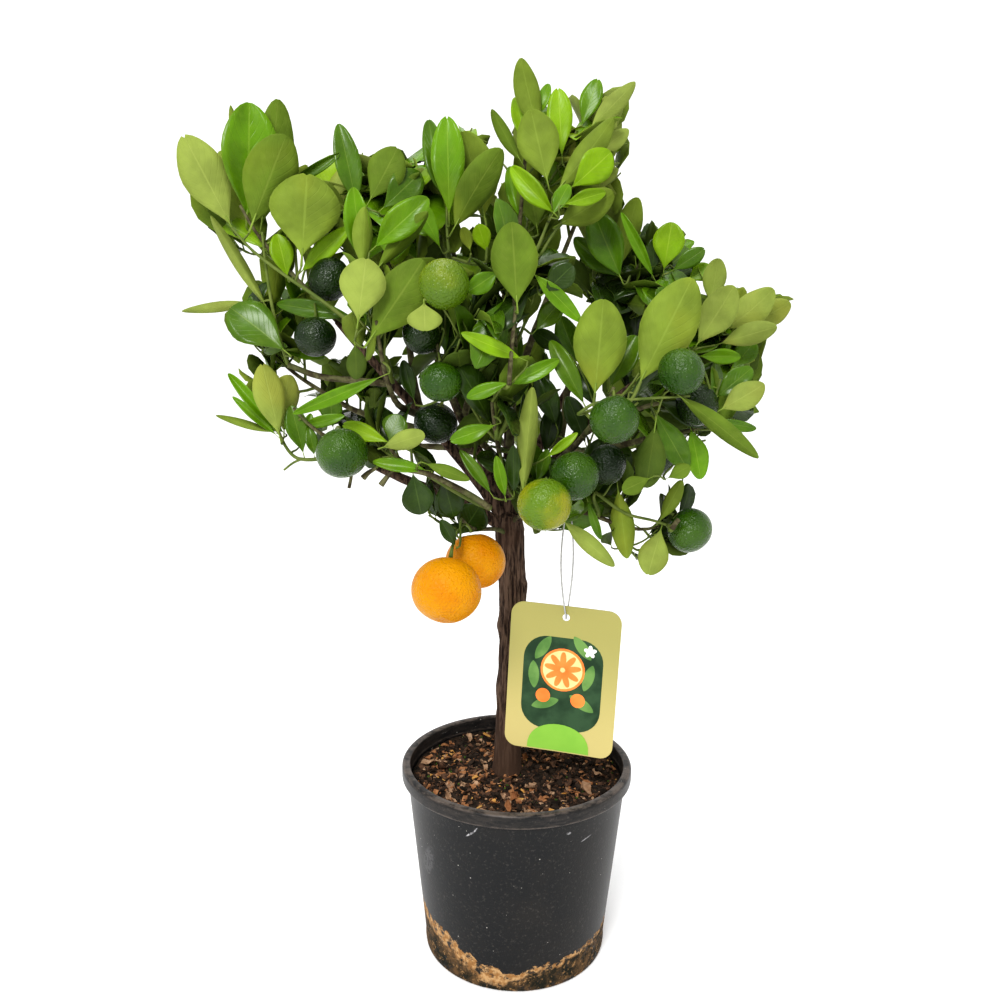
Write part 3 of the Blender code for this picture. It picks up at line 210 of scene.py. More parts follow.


# Each leaf's tone takes in the light and shade on it: DARK paints the shade on leaves deep in the crown, and LIME and
# FRESH partly paint the light on lit ones.
SEEN_LEAVES = [
    SeenLeaf("left_high", (230, 224), (184, 136), 42, Tone.LIME),
    SeenLeaf("left_high", (247, 214), (250, 102), 52, Tone.FRESH, Side.UPPER, -0.012),
    SeenLeaf("left_high", (253, 222), (286, 133), 48, Tone.MID, Side.UNDER, 0.008),
    SeenLeaf("left_high", (262, 222), (281, 100), 38, Tone.MID, Side.UNDER, -0.020),
    SeenLeaf("left_high", (302, 256), (307, 174), 66, Tone.FRESH, Side.UNDER, 0.012),
    SeenLeaf("left_high", (290, 182), (340, 155), 10, Tone.MID, Side.UPPER, -0.010),
    SeenLeaf("left_high", (249, 196), (230, 107), 12, Tone.FRESH, Side.UNDER, -0.020),
    SeenLeaf("left_high", (266, 306), (211, 217), 12, Tone.LIME),
    SeenLeaf("left_high", (252, 303), (183, 311), 10, Tone.LIME),
    SeenLeaf("left_high", (284, 350), (230, 306), 44, Tone.MID, Side.UPPER, 0.012),
    SeenLeaf("left_high", (287, 276), (277, 233), 22, Tone.LIME, Side.UPPER),
    SeenLeaf("left_high", (303, 270), (350, 226), 18, Tone.LIME, Side.UPPER, -0.005),
    SeenLeaf("left_high", (350, 316), (275, 303), 18, Tone.MID, Side.UPPER),
    SeenLeaf("left_upper", (356, 203), (339, 122), 24, Tone.MID, Side.UPPER, 0.020),
    SeenLeaf("left_upper", (370, 200), (398, 148), 36, Tone.MID, Side.UNDER, 0.020),
    SeenLeaf("left_upper", (383, 208), (421, 172), 32, Tone.MID, Side.UPPER, 0.020),
    SeenLeaf("left_front", (362, 262), (353, 187), 24, Tone.FRESH, Side.UPPER, -0.040),
    SeenLeaf("left_front", (363, 268), (364, 207), 20, Tone.FRESH, Side.UNDER, -0.030),
    SeenLeaf("left_front", (376, 246), (428, 197), 30, Tone.FRESH, Side.UPPER, -0.030),
    SeenLeaf("left_front", (378, 268), (428, 210), 18, Tone.MID, Side.UNDER, -0.030),
    SeenLeaf("left_front", (358, 321), (366, 258), 45, Tone.LIME, Side.UNDER, 0.012),
    SeenLeaf("left_front", (371, 338), (424, 260), 48, Tone.MID),
    SeenLeaf("left_front", (355, 345), (357, 380), 20, Tone.DARK),
    SeenLeaf("left_front", (378, 378), (291, 415), 14, Tone.FRESH, Side.UPPER),
    SeenLeaf("front_left", (424, 303), (425, 331), 35, Tone.LIME, Side.UNDER, 0.030),
    SeenLeaf("left_low", (279, 434), (262, 364), 30, Tone.LIME, Side.UNDER, 0.010),
    SeenLeaf("left_low", (284, 430), (286, 370), 28, Tone.LIME, Side.UNDER, -0.010),
    SeenLeaf("left_low", (275, 430), (227, 371), 12, Tone.FRESH, Side.UPPER),
    SeenLeaf("left_low", (275, 434), (232, 396), 9, Tone.FRESH, Side.UPPER),
    SeenLeaf("left_low", (272, 432), (218, 416), 8, Tone.FRESH),
    SeenLeaf("left_low", (283, 432), (257, 412), 22, Tone.MID, Side.UPPER, -0.020),
    SeenLeaf("left_low", (303, 452), (291, 405), 22, Tone.MID, Side.UPPER),
    SeenLeaf("left_low", (302, 426), (344, 416), 12, Tone.FRESH, Side.UPPER, -0.010),
    SeenLeaf("left_low", (333, 427), (330, 397), 22, Tone.MID, Side.UPPER, -0.020),
    SeenLeaf("low_left", (388, 442), (342, 424), 18, Tone.LIME, Side.UPPER),
    SeenLeaf("low_left", (389, 441), (399, 414), 26, Tone.MID, Side.UPPER, -0.010),
    SeenLeaf("low_left", (384, 447), (428, 433), 20, Tone.LIME, Side.UNDER, 0.015),
    SeenLeaf("low_left", (425, 470), (372, 461), 14, Tone.FRESH, Side.UPPER),
    SeenLeaf("low_left", (427, 464), (470, 480), 13, Tone.MID, Side.UNDER, 0.010),
    SeenLeaf("low_left", (413, 474), (421, 515), 32, Tone.DARK, Side.UPPER),
    SeenLeaf("low_left", (443, 478), (454, 518), 30, Tone.DARK, Side.UPPER, -0.015),
    SeenLeaf("low_hanging", (455, 545), (441, 520), 14, Tone.DARK, Side.UPPER, 0.040),
    SeenLeaf("low_hanging", (461, 534), (480, 506), 34, Tone.DARK, Side.UPPER, -0.020),
    SeenLeaf("centre_front", (495, 425), (450, 441), 18, Tone.FRESH, Side.UPPER),
    SeenLeaf("centre_front", (490, 492), (460, 449), 13, Tone.MID, Side.UPPER),
    SeenLeaf("centre_front", (508, 383), (466, 397), 15, Tone.FRESH, Side.UPPER, 0.010),
    SeenLeaf("centre_front", (510, 384), (560, 360), 16, Tone.FRESH, Side.UPPER),
    SeenLeaf("centre_front", (520, 358), (461, 333), 16, Tone.LIME, Side.UPPER, 0.010),
    SeenLeaf("centre_front", (505, 496), (496, 456), 12, Tone.FRESH, Side.UPPER),
    SeenLeaf("centre_front", (514, 492), (513, 446), 16, Tone.DARK, Side.UPPER, -0.010),
    SeenLeaf("low_front", (523, 492), (532, 385), 20, Tone.LIME, Side.UNDER, 0.030),
    SeenLeaf("low_front", (521, 484), (524, 393), 11, Tone.DARK, Side.UPPER, 0.020),
    SeenLeaf("low_front", (537, 482), (548, 450), 14, Tone.MID, Side.UPPER),
    SeenLeaf("low_front", (548, 456), (578, 433), 10, Tone.LIME, Side.UPPER, 0.020),
    SeenLeaf("low_front", (565, 522), (614, 566), 17, Tone.LIME, Side.UNDER, 0.030),
    SeenLeaf("low_front", (588, 502), (601, 541), 9, Tone.MID, Side.UPPER, 0.020),
    SeenLeaf("centre_high", (517, 303), (512, 222), 46, Tone.MID, Side.UNDER, 0.010),
    SeenLeaf("centre_high", (498, 272), (468, 292), 20, Tone.FRESH, Side.UPPER),
    SeenLeaf("centre_high", (535, 275), (582, 322), 16, Tone.FRESH, Side.UPPER),
    SeenLeaf("centre_high", (545, 292), (573, 265), 26, Tone.DARK, Side.UPPER),
    SeenLeaf("left_top", (447, 202), (426, 115), 22, Tone.MID, Side.UPPER, 0.040),
    SeenLeaf("left_top", (449, 214), (447, 115), 32, Tone.FRESH, Side.UPPER, 0.045),
    SeenLeaf("left_top", (455, 226), (499, 146), 34, Tone.MID, Side.UNDER, 0.050),
    SeenLeaf("left_top", (484, 215), (465, 130), 44, Tone.FRESH, Side.UNDER, 0.030),
    SeenLeaf("left_top", (440, 247), (415, 197), 18, Tone.FRESH, Side.UPPER, 0.050),
    SeenLeaf("left_top", (470, 250), (463, 226), 12, Tone.FRESH, Side.UNDER, 0.040),
    SeenLeaf("left_top", (487, 252), (478, 224), 18, Tone.LIME, Side.UPPER, 0.030),
    SeenLeaf("centre_top", (520, 160), (491, 111), 13, Tone.MID),
    SeenLeaf("centre_top", (539, 132), (519, 60), 24, Tone.FRESH, Side.UNDER, -0.010),
    SeenLeaf("centre_top", (526, 145), (515, 93), 16, Tone.LIME, Side.UPPER, -0.015),
    SeenLeaf("centre_top", (540, 114), (548, 81), 12, Tone.FRESH, Side.UPPER, -0.020),
    SeenLeaf("centre_top", (547, 180), (531, 110), 40, Tone.FRESH, Side.UNDER, 0.020),
    SeenLeaf("centre_top", (562, 155), (558, 87), 24, Tone.LIME, Side.UPPER),
    SeenLeaf("centre_top", (582, 125), (598, 78), 20, Tone.FRESH, Side.UPPER, -0.020),
    SeenLeaf("centre_top", (592, 126), (635, 83), 18, Tone.LIME, Side.UNDER, -0.010),
    SeenLeaf("centre_top", (560, 187), (614, 121), 25, Tone.FRESH, Side.UNDER, 0.015),
    SeenLeaf("centre_top", (600, 150), (628, 131), 17, Tone.LIME, Side.UNDER, -0.010),
    SeenLeaf("centre_top", (572, 187), (612, 152), 32, Tone.LIME, Side.UPPER, 0.020),
    SeenLeaf("centre_top", (565, 204), (606, 192), 15, Tone.LIME, Side.UPPER, 0.030),
    SeenLeaf("centre_top", (560, 224), (616, 192), 30, Tone.FRESH, Side.UNDER, 0.015),
    SeenLeaf("centre_top", (553, 212), (508, 165), 20, Tone.LIME, Side.UPPER, 0.030),
    SeenLeaf("centre_top", (537, 228), (528, 176), 30, Tone.MID),
    SeenLeaf("centre_top", (519, 216), (507, 163), 13, Tone.FRESH, Side.UPPER, -0.005),
    SeenLeaf("centre_top", (553, 214), (569, 183), 16, Tone.FRESH, Side.UPPER, 0.030),
    SeenLeaf("centre_top", (532, 200), (522, 145), 26, Tone.FRESH, Side.UNDER, -0.020),
    SeenLeaf("right_high", (620, 276), (593, 211), 34, Tone.MID, Side.UPPER, 0.040),
    SeenLeaf("right_high", (622, 262), (636, 195), 24, Tone.FRESH),
    SeenLeaf("right_high", (653, 276), (621, 212), 11, Tone.FRESH, Side.UPPER, 0.050),
    SeenLeaf("right_high", (664, 269), (672, 222), 30, Tone.LIME, Side.UPPER, 0.030),
    SeenLeaf("right_high", (652, 272), (655, 238), 18, Tone.DARK, Side.UPPER, 0.020),
    SeenLeaf("right_high", (673, 270), (705, 249), 17, Tone.MID, Side.UPPER, 0.030),
    SeenLeaf("right_high", (618, 276), (574, 238), 22, Tone.MID, Side.UPPER, 0.020),
    SeenLeaf("right_high", (688, 280), (711, 266), 18, Tone.LIME, Side.UPPER, 0.020),
    SeenLeaf("right_front", (595, 392), (604, 298), 52, Tone.FRESH),
    SeenLeaf("right_front", (641, 380), (692, 279), 54, Tone.FRESH),
    SeenLeaf("right_front", (611, 386), (636, 335), 28, Tone.MID, Side.UPPER, -0.030),
    SeenLeaf("right_front", (583, 402), (550, 338), 20, Tone.MID, Side.UPPER, -0.010),
    SeenLeaf("right_far", (698, 343), (735, 286), 34, Tone.LIME, Side.UNDER, 0.030),
    SeenLeaf("right_far", (711, 303), (718, 257), 22, Tone.LIME),
    SeenLeaf("right_far", (728, 328), (775, 291), 31, Tone.LIME, Side.UNDER, 0.010),
    SeenLeaf("right_far", (750, 327), (791, 301), 24, Tone.LIME, Side.UNDER, -0.010),
    SeenLeaf("right_far", (722, 343), (777, 326), 22, Tone.LIME, Side.UNDER, 0.020),
    SeenLeaf("right_far", (700, 356), (741, 357), 15, Tone.FRESH, Side.UPPER, 0.030),
    SeenLeaf("right_far", (733, 368), (755, 341), 22, Tone.MID, Side.UPPER),
    SeenLeaf("right_low", (718, 396), (754, 366), 22, Tone.MID, Side.UPPER),
    SeenLeaf("right_low", (722, 409), (764, 385), 27, Tone.LIME, Side.UNDER, 0.010),
    SeenLeaf("right_low", (681, 397), (758, 456), 18, Tone.MID, Side.UNDER, 0.040),
    SeenLeaf("right_low", (715, 420), (758, 430), 11, Tone.MID, Side.UPPER),
    SeenLeaf("right_low", (660, 402), (713, 424), 24, Tone.DARK, Side.UPPER),
    SeenLeaf("right_low", (655, 427), (646, 489), 30, Tone.DARK, Side.UNDER, 0.030),
    SeenLeaf("right_low", (650, 478), (622, 491), 19, Tone.MID, Side.UNDER, 0.040),
    SeenLeaf("right_low", (656, 414), (688, 470), 26, Tone.MID, Side.UPPER, 0.010),
    SeenLeaf("right_low", (691, 430), (702, 480), 22, Tone.FRESH, Side.UPPER),
    SeenLeaf("low_right", (618, 490), (627, 558), 24, Tone.FRESH, Side.UNDER, 0.010),
    SeenLeaf("low_right", (661, 529), (648, 575), 30, Tone.LIME, Side.UNDER, 0.010),
    SeenLeaf("low_right", (660, 520), (684, 479), 15, Tone.FRESH, Side.UNDER, 0.010),
    SeenLeaf("centre_front", (556, 424), (538, 374), 24, Tone.DARK, Side.UPPER, -0.060),
    SeenLeaf("centre_front", (585, 442), (568, 396), 22, Tone.DARK, Side.UPPER, -0.060),
    SeenLeaf("centre_front", (545, 452), (556, 404), 22, Tone.DARK, Side.UPPER, -0.070),
    SeenLeaf("centre_front", (578, 362), (560, 316), 24, Tone.MID, Side.UPPER, -0.070),
    SeenLeaf("centre_front", (594, 405), (578, 360), 20, Tone.DARK, Side.UPPER, -0.060),
    SeenLeaf("centre_front", (566, 352), (532, 330), 18, Tone.DARK, Side.UPPER, -0.060),
    SeenLeaf("front_left", (414, 400), (403, 360), 15, Tone.DARK, Side.UPPER, -0.030),
    SeenLeaf("centre_high", (536, 330), (562, 300), 22, Tone.MID, Side.UPPER, -0.030),
    SeenLeaf("left_low", (314, 454), (309, 427), 12, Tone.MID, Side.UPPER),
    SeenLeaf("left_low", (300, 444), (312, 414), 12, Tone.FRESH, Side.UPPER, -0.010),
    SeenLeaf("right_low", (668, 478), (690, 466), 16, Tone.MID, Side.UNDER, 0.020),
]


@dataclass(frozen=True)
class SeenTwig:
    """A twig that the photograph shows plainly, by the pixels that it passes from foot to tip."""

    mass: str
    pixels: tuple[Pixel, ...]
    radii: tuple[float, float]
    ahead: float = 0.0
    old: bool = False


SEEN_TWIGS = [
    SeenTwig("left_high", ((392, 384), (350, 380), (318, 376), (288, 365)), (0.0026, 0.0021), 0.0, True),
    SeenTwig("left_high", ((288, 365), (276, 325), (267, 275), (262, 232)), (0.0017, 0.0010)),
    SeenTwig("left_high", ((360, 330), (318, 298), (286, 276), (252, 250), (232, 228)), (0.0017, 0.0009), 0.010),
    SeenTwig("left_low", ((330, 458), (300, 459), (288, 450), (278, 430)), (0.0016, 0.0012)),
    SeenTwig("low_right", ((595, 492), (625, 513), (655, 521), (672, 527)), (0.0014, 0.0010), 0.010),
    SeenTwig("centre_high", ((497, 440), (495, 410), (494, 380)), (0.0019, 0.0016), -0.020),
    SeenTwig("centre_high", ((509, 385), (512, 345), (516, 306)), (0.0017, 0.0012), 0.005, True),
    SeenTwig("low_right", ((672, 529), (675, 524), (679, 519)), (0.0020, 0.0018), 0.026, True),
    SeenTwig("right_front", ((578, 414), (596, 403), (640, 399), (690, 396)), (0.0012, 0.0009), 0.004),
    SeenTwig("right_front", ((596, 420), (594, 405), (595, 393)), (0.0012, 0.0010), 0.004),
    SeenTwig("right_front", ((630, 402), (636, 392), (641, 381)), (0.0012, 0.0010), 0.004),
    SeenTwig("left_top", ((449, 256), (447, 230), (447, 204)), (0.0013, 0.0010), 0.042),
    SeenTwig("left_top", ((486, 262), (487, 240), (485, 218)), (0.0012, 0.0009), 0.030),
    SeenTwig("centre_top", ((534, 256), (541, 240), (551, 214)), (0.0016, 0.0010), 0.015),
    SeenTwig("centre_top", ((540, 256), (552, 236), (562, 222)), (0.0013, 0.0009), 0.015),
    SeenTwig("low_left", ((490, 508), (472, 496), (452, 485), (428, 474), (402, 469)), (0.0024, 0.0018), 0.0, True),
    SeenTwig("low_left", ((352, 468), (351, 478), (349, 488)), (0.0011, 0.0012), 0.0, True),
    SeenTwig("low_left", ((376, 468), (368, 473), (363, 478)), (0.0012, 0.0022), 0.0, True),
    SeenTwig("low_left", ((394, 469), (387, 477), (381, 485)), (0.0012, 0.0022), 0.0, True),
    SeenTwig("left_low", ((302, 459), (293, 463), (284, 470)), (0.0010, 0.0008)),
]


@dataclass(frozen=True)
class SkyGap:
    """A round gap in the crown through which the photograph shows the background, in pixels."""

    centre: Pixel
    radius: float


OUTER_GAPS = [
    SkyGap((130, 215), 62), SkyGap((165, 255), 40), SkyGap((165, 60), 75), SkyGap((330, 60), 72),
    SkyGap((395, 85), 55), SkyGap((455, 50), 62), SkyGap((570, 20), 62), SkyGap((700, 110), 70),
    SkyGap((700, 170), 56), SkyGap((760, 215), 62), SkyGap((840, 345), 62), SkyGap((830, 430), 75),
    SkyGap((770, 500), 60), SkyGap((690, 600), 45), SkyGap((630, 602), 38), SkyGap((590, 566), 24),
    SkyGap((380, 532), 48), SkyGap((290, 512), 55), SkyGap((213, 452), 42), SkyGap((193, 352), 42),
]
INNER_GAPS = [
    SkyGap((548, 546), 12), SkyGap((533, 545), 8), SkyGap((486, 542), 7), SkyGap((540, 552), 13), SkyGap((560, 552), 7), SkyGap((318, 148), 9), SkyGap((328, 170), 12),
    SkyGap((375, 138), 15), SkyGap((411, 140), 17), SkyGap((632, 165), 12), SkyGap((770, 345), 12),
    SkyGap((770, 367), 12), SkyGap((766, 388), 10), SkyGap((720, 448), 12), SkyGap((690, 492), 8),
    SkyGap((685, 564), 9), SkyGap((700, 556), 8), SkyGap((668, 558), 6), SkyGap((222, 285), 12), SkyGap((247, 287), 8), SkyGap((248, 368), 11),
    SkyGap((240, 346), 8), SkyGap((749, 411), 7), SkyGap((582, 100), 7), SkyGap((500, 150), 7),
    SkyGap((590, 520), 13), SkyGap((640, 512), 13), SkyGap((634, 538), 8), SkyGap((650, 496), 9),
    SkyGap((428, 535), 13), SkyGap((305, 378), 13), SkyGap((288, 330), 8), SkyGap((290, 372), 9),
    SkyGap((335, 371), 10), SkyGap((350, 403), 11), SkyGap((313, 440), 8), SkyGap((310, 412), 8),
    SkyGap((280, 288), 13), SkyGap((238, 284), 15), SkyGap((262, 268), 8), SkyGap((325, 166), 13),
    SkyGap((432, 243), 8), SkyGap((458, 240), 13), SkyGap((470, 214), 12), SkyGap((433, 190), 8),
    SkyGap((493, 220), 8), SkyGap((577, 230), 14), SkyGap((593, 222), 11), SkyGap((564, 238), 8),
    SkyGap((475, 478), 10), SkyGap((487, 482), 6), SkyGap((466, 502), 8), SkyGap((640, 465), 6),
    SkyGap((386, 408), 6), SkyGap((480, 383), 6), SkyGap((508, 425), 6), SkyGap((575, 265), 7),
    SkyGap((572, 292), 8), SkyGap((343, 340), 6), SkyGap((446, 445), 5),
]
SKY_GAPS = OUTER_GAPS + INNER_GAPS


# Small helpers of geometry


def polar(place: Place, centre: Vector = FORK) -> Vector:
    """Turns a bearing and a rise in degrees and a reach in metres into a point.

    Args:
        place: Bearing, rise and reach.
        centre: The point that they are measured from.

    Returns:
        The point.
    """
    bearing, rise, reach = math.radians(place[0]), math.radians(place[1]), place[2]
    flat = math.cos(rise) * reach
    offset = Vector((flat * math.cos(bearing), flat * math.sin(bearing), math.sin(rise) * reach))
    return centre + offset


def bezier(start: Vector, start_way: Vector, end: Vector, end_way: Vector, count: int) -> list[Vector]:
    """Gives points along a cubic curve that leaves and arrives along two directions.

    Args:
        start: The first point.
        start_way: The direction in which the curve leaves.
        end: The last point.
        end_way: The direction in which it arrives.
        count: How many points are given.

    Returns:
        The points in order.
    """
    pull = (end - start).length * 0.36
    first, last = start + start_way * pull, end - end_way * pull
    points = []
    for step in range(count):
        t = step / (count - 1)
        s = 1 - t
        points.append(start * s ** 3 + first * 3 * s * s * t + last * 3 * s * t * t + end * t ** 3)
    return points


def taper(first: float, last: float, count: int) -> list[float]:
    """Gives radii that run evenly from the first to the last."""
    return [first + (last - first) * step / (count - 1) for step in range(count)]


def turned_about(way: Vector, axis: Vector, angle: float) -> Vector:
    """Turns a direction about an axis."""
    return (Matrix.Rotation(angle, 3, axis) @ way).normalized()


def spread_way(axis: Vector, turn: float, angle: float) -> Vector:
    """Gives a direction that leaves an axis by an angle, at a turn round it."""
    side = axis.orthogonal().normalized()
    return turned_about(turned_about(axis, side, angle), axis, turn)


def frame_of(origin: Vector, along: Vector, face: Vector, scale: float = 1.0) -> Matrix:
    """Gives the matrix that sets +Y along one direction and +Z as near as it can to another.

    Args:
        origin: Where the shape's own origin goes.
        along: The direction of its +Y.
        face: The direction that its +Z leans towards.
        scale: Its size.

    Returns:
        The matrix.
    """
    across = along.cross(face).normalized()
    lift = across.cross(along).normalized()
    turn = Matrix((across, along.normalized(), lift)).transposed().to_4x4()
    return Matrix.Translation(origin) @ turn @ Matrix.Scale(scale, 4)


@dataclass
class Path:
    """A smooth route with a radius at each of its points."""

    points: list[Vector]
    radii: list[float]

    def at(self, share: float) -> tuple[Vector, Vector, float]:
        """Gives the point, the direction and the radius at a share of the route."""
        place = min(max(share, 0.0), 1.0) * (len(self.points) - 1)
        index = min(int(place), len(self.points) - 2)
        blend = place - index
        point = self.points[index].lerp(self.points[index + 1], blend)
        heading = (self.points[index + 1] - self.points[index]).normalized()
        radius = self.radii[index] * (1 - blend) + self.radii[index + 1] * blend
        return point, heading, radius

    def length(self) -> float:
        """Gives the length of the route."""
        return sum((b - a).length for a, b in zip(self.points, self.points[1:]))

    def nearest_share(self, target: Vector) -> float:
        """Gives the share of the route that lies nearest to a point."""
        shares = [step / 40 for step in range(8, 37)]
        return min(shares, key=lambda share: (self.at(share)[0] - target).length)


@dataclass
class Template:
    """A small mesh as arrays, ready to be copied many times into one piece."""

    points: np.ndarray
    loops: np.ndarray
    sizes: np.ndarray
    slots: np.ndarray
    flat: np.ndarray
    uvs: np.ndarray

    @classmethod
    def of(cls, shape: bmesh.types.BMesh) -> "Template":
        """Reads a bmesh into arrays and frees it.

        Args:
            shape: The bmesh, whose face material indices become the template's slots.

        Returns:
            The template.
        """
        shape.verts.index_update()
        layer = shape.loops.layers.uv.active
        loops = [loop for face in shape.faces for loop in face.loops]
        uvs = [tuple(loop[layer].uv) for loop in loops] if layer else [(0.0, 0.0)] * len(loops)
        made = cls(
            np.array([vertex.co[:] for vertex in shape.verts]),
            np.array([loop.vert.index for loop in loops]),
            np.array([len(face.loops) for face in shape.faces]),
            np.array([face.material_index for face in shape.faces]),
            np.array([not face.smooth for face in shape.faces]),
            np.array(uvs),
        )
        shape.free()
        return made


class Gathering:
    """Copies of templates, joined into one piece."""

    def __init__(self, name: str, materials: Sequence[bpy.types.Material]) -> None:
        """Starts an empty piece with its material slots."""
        self.name = name
        self.materials = materials
        self.bits: list[tuple[Template, np.ndarray, np.ndarray]] = []

    def add(self, template: Template, place: Optional[Matrix] = None,
            slots: Optional[Sequence[int]] = None) -> None:
        """Adds one copy of a template.

        Args:
            template: What is copied.
            place: Where it goes, or None where it stands in place already.
            slots: The piece's slot for each of the template's own slots.
        """
        points = template.points
        if place is not None:
            turn = np.array(place)
            points = points @ turn[:3, :3].T + turn[:3, 3]
        used = template.slots if slots is None else np.array(slots)[template.slots]
        self.bits.append((template, points, used))

    def triangles(self) -> int:
        """Counts the triangles that the piece has so far."""
        return int(sum((bit[0].sizes - 2).sum() for bit in self.bits))

    def build(self) -> bpy.types.Object:
        """Joins the copies into one mesh object.

        Returns:
            The object, at the origin.
        """
        starts = np.cumsum([0] + [len(points) for _, points, _ in self.bits])
        points = np.concatenate([points for _, points, _ in self.bits])
        loops = np.concatenate([bit.loops + start for (bit, _, _), start in zip(self.bits, starts)])
        sizes = np.concatenate([bit.sizes for bit, _, _ in self.bits])
        mesh = bpy.data.meshes.new(self.name)
        mesh.vertices.add(len(points))
        mesh.vertices.foreach_set("co", points.astype(np.float32).ravel())
        mesh.loops.add(len(loops))
        mesh.loops.foreach_set("vertex_index", loops.astype(np.int32))
        mesh.polygons.add(len(sizes))
        mesh.polygons.foreach_set("loop_start", np.concatenate([[0], np.cumsum(sizes)[:-1]]).astype(np.int32))
        mesh.polygons.foreach_set("material_index", np.concatenate([used for _, _, used in self.bits]))
        mesh.polygons.foreach_set("use_smooth", ~np.concatenate([bit.flat for bit, _, _ in self.bits]))
        uvs = mesh.uv_layers.new(name="UVMap")
        uvs.data.foreach_set("uv", np.concatenate([bit.uvs for bit, _, _ in self.bits]).astype(np.float32).ravel())
        for material in self.materials:
            mesh.materials.append(material)
        mesh.update(calc_edges=True)
        mesh.validate()
        item = bpy.data.objects.new(self.name, mesh)
        bpy.context.scene.collection.objects.link(item)
        return item


def object_from(name: str, shape: bmesh.types.BMesh, materials: Sequence[bpy.types.Material]) -> bpy.types.Object:
    """Makes an object of a bmesh, which is freed.

    Args:
        name: The object's name.
        shape: Its finished mesh.
        materials: Its materials in the order of its slots.

    Returns:
        The object, at the origin.
    """
    mesh = bpy.data.meshes.new(name)
    shape.to_mesh(mesh)
    shape.free()
    for material in materials:
        mesh.materials.append(material)
    item = bpy.data.objects.new(name, mesh)
    bpy.context.scene.collection.objects.link(item)
    return item


def shade_smooth(shape: bmesh.types.BMesh) -> None:
    """Shades every face of a bmesh smoothly."""
    for face in shape.faces:
        face.smooth = True


def sweep(path: Path, sides: int, smooth: bool = True) -> bmesh.types.BMesh:
    """Extrudes a circle along a path into a closed limb.

    Args:
        path: The route and its radii.
        sides: How many sides the limb has.
        smooth: Whether it is shaded smoothly.

    Returns:
        The bmesh, with its rings in order.
    """
    shape = bmesh.new()
    bmesh.ops.create_circle(shape, cap_ends=True, segments=sides, radius=1.0)
    cap = shape.faces[:][0]
    heading = (path.points[1] - path.points[0]).normalized()
    face = heading.orthogonal().normalized()
    last = len(path.points) - 1
    before = Matrix.Identity(4)
    for index, (point, radius) in enumerate(zip(path.points, path.radii)):
        ahead = path.points[min(index + 1, last)] - path.points[max(index - 1, 0)]
        heading = ahead.normalized()
        face = (face - heading * face.dot(heading)).normalized()
        across = face.cross(heading)
        turn = Matrix((across, face, heading)).transposed().to_4x4()
        now = Matrix.Translation(point) @ turn @ Matrix.Scale(radius, 4)
        if index:
            made = bmesh.ops.extrude_face_region(shape, geom=[cap])["geom"]
            if index > 1:
                bmesh.ops.delete(shape, geom=[cap], context="FACES_ONLY")
            cap = next(bit for bit in made if isinstance(bit, bmesh.types.BMFace))
        bmesh.ops.transform(shape, matrix=now @ before.inverted(), verts=cap.verts)
        before = now
    bmesh.ops.recalc_face_normals(shape, faces=shape.faces)
    if smooth:
        shade_smooth(shape)
    return shape


# Finishes


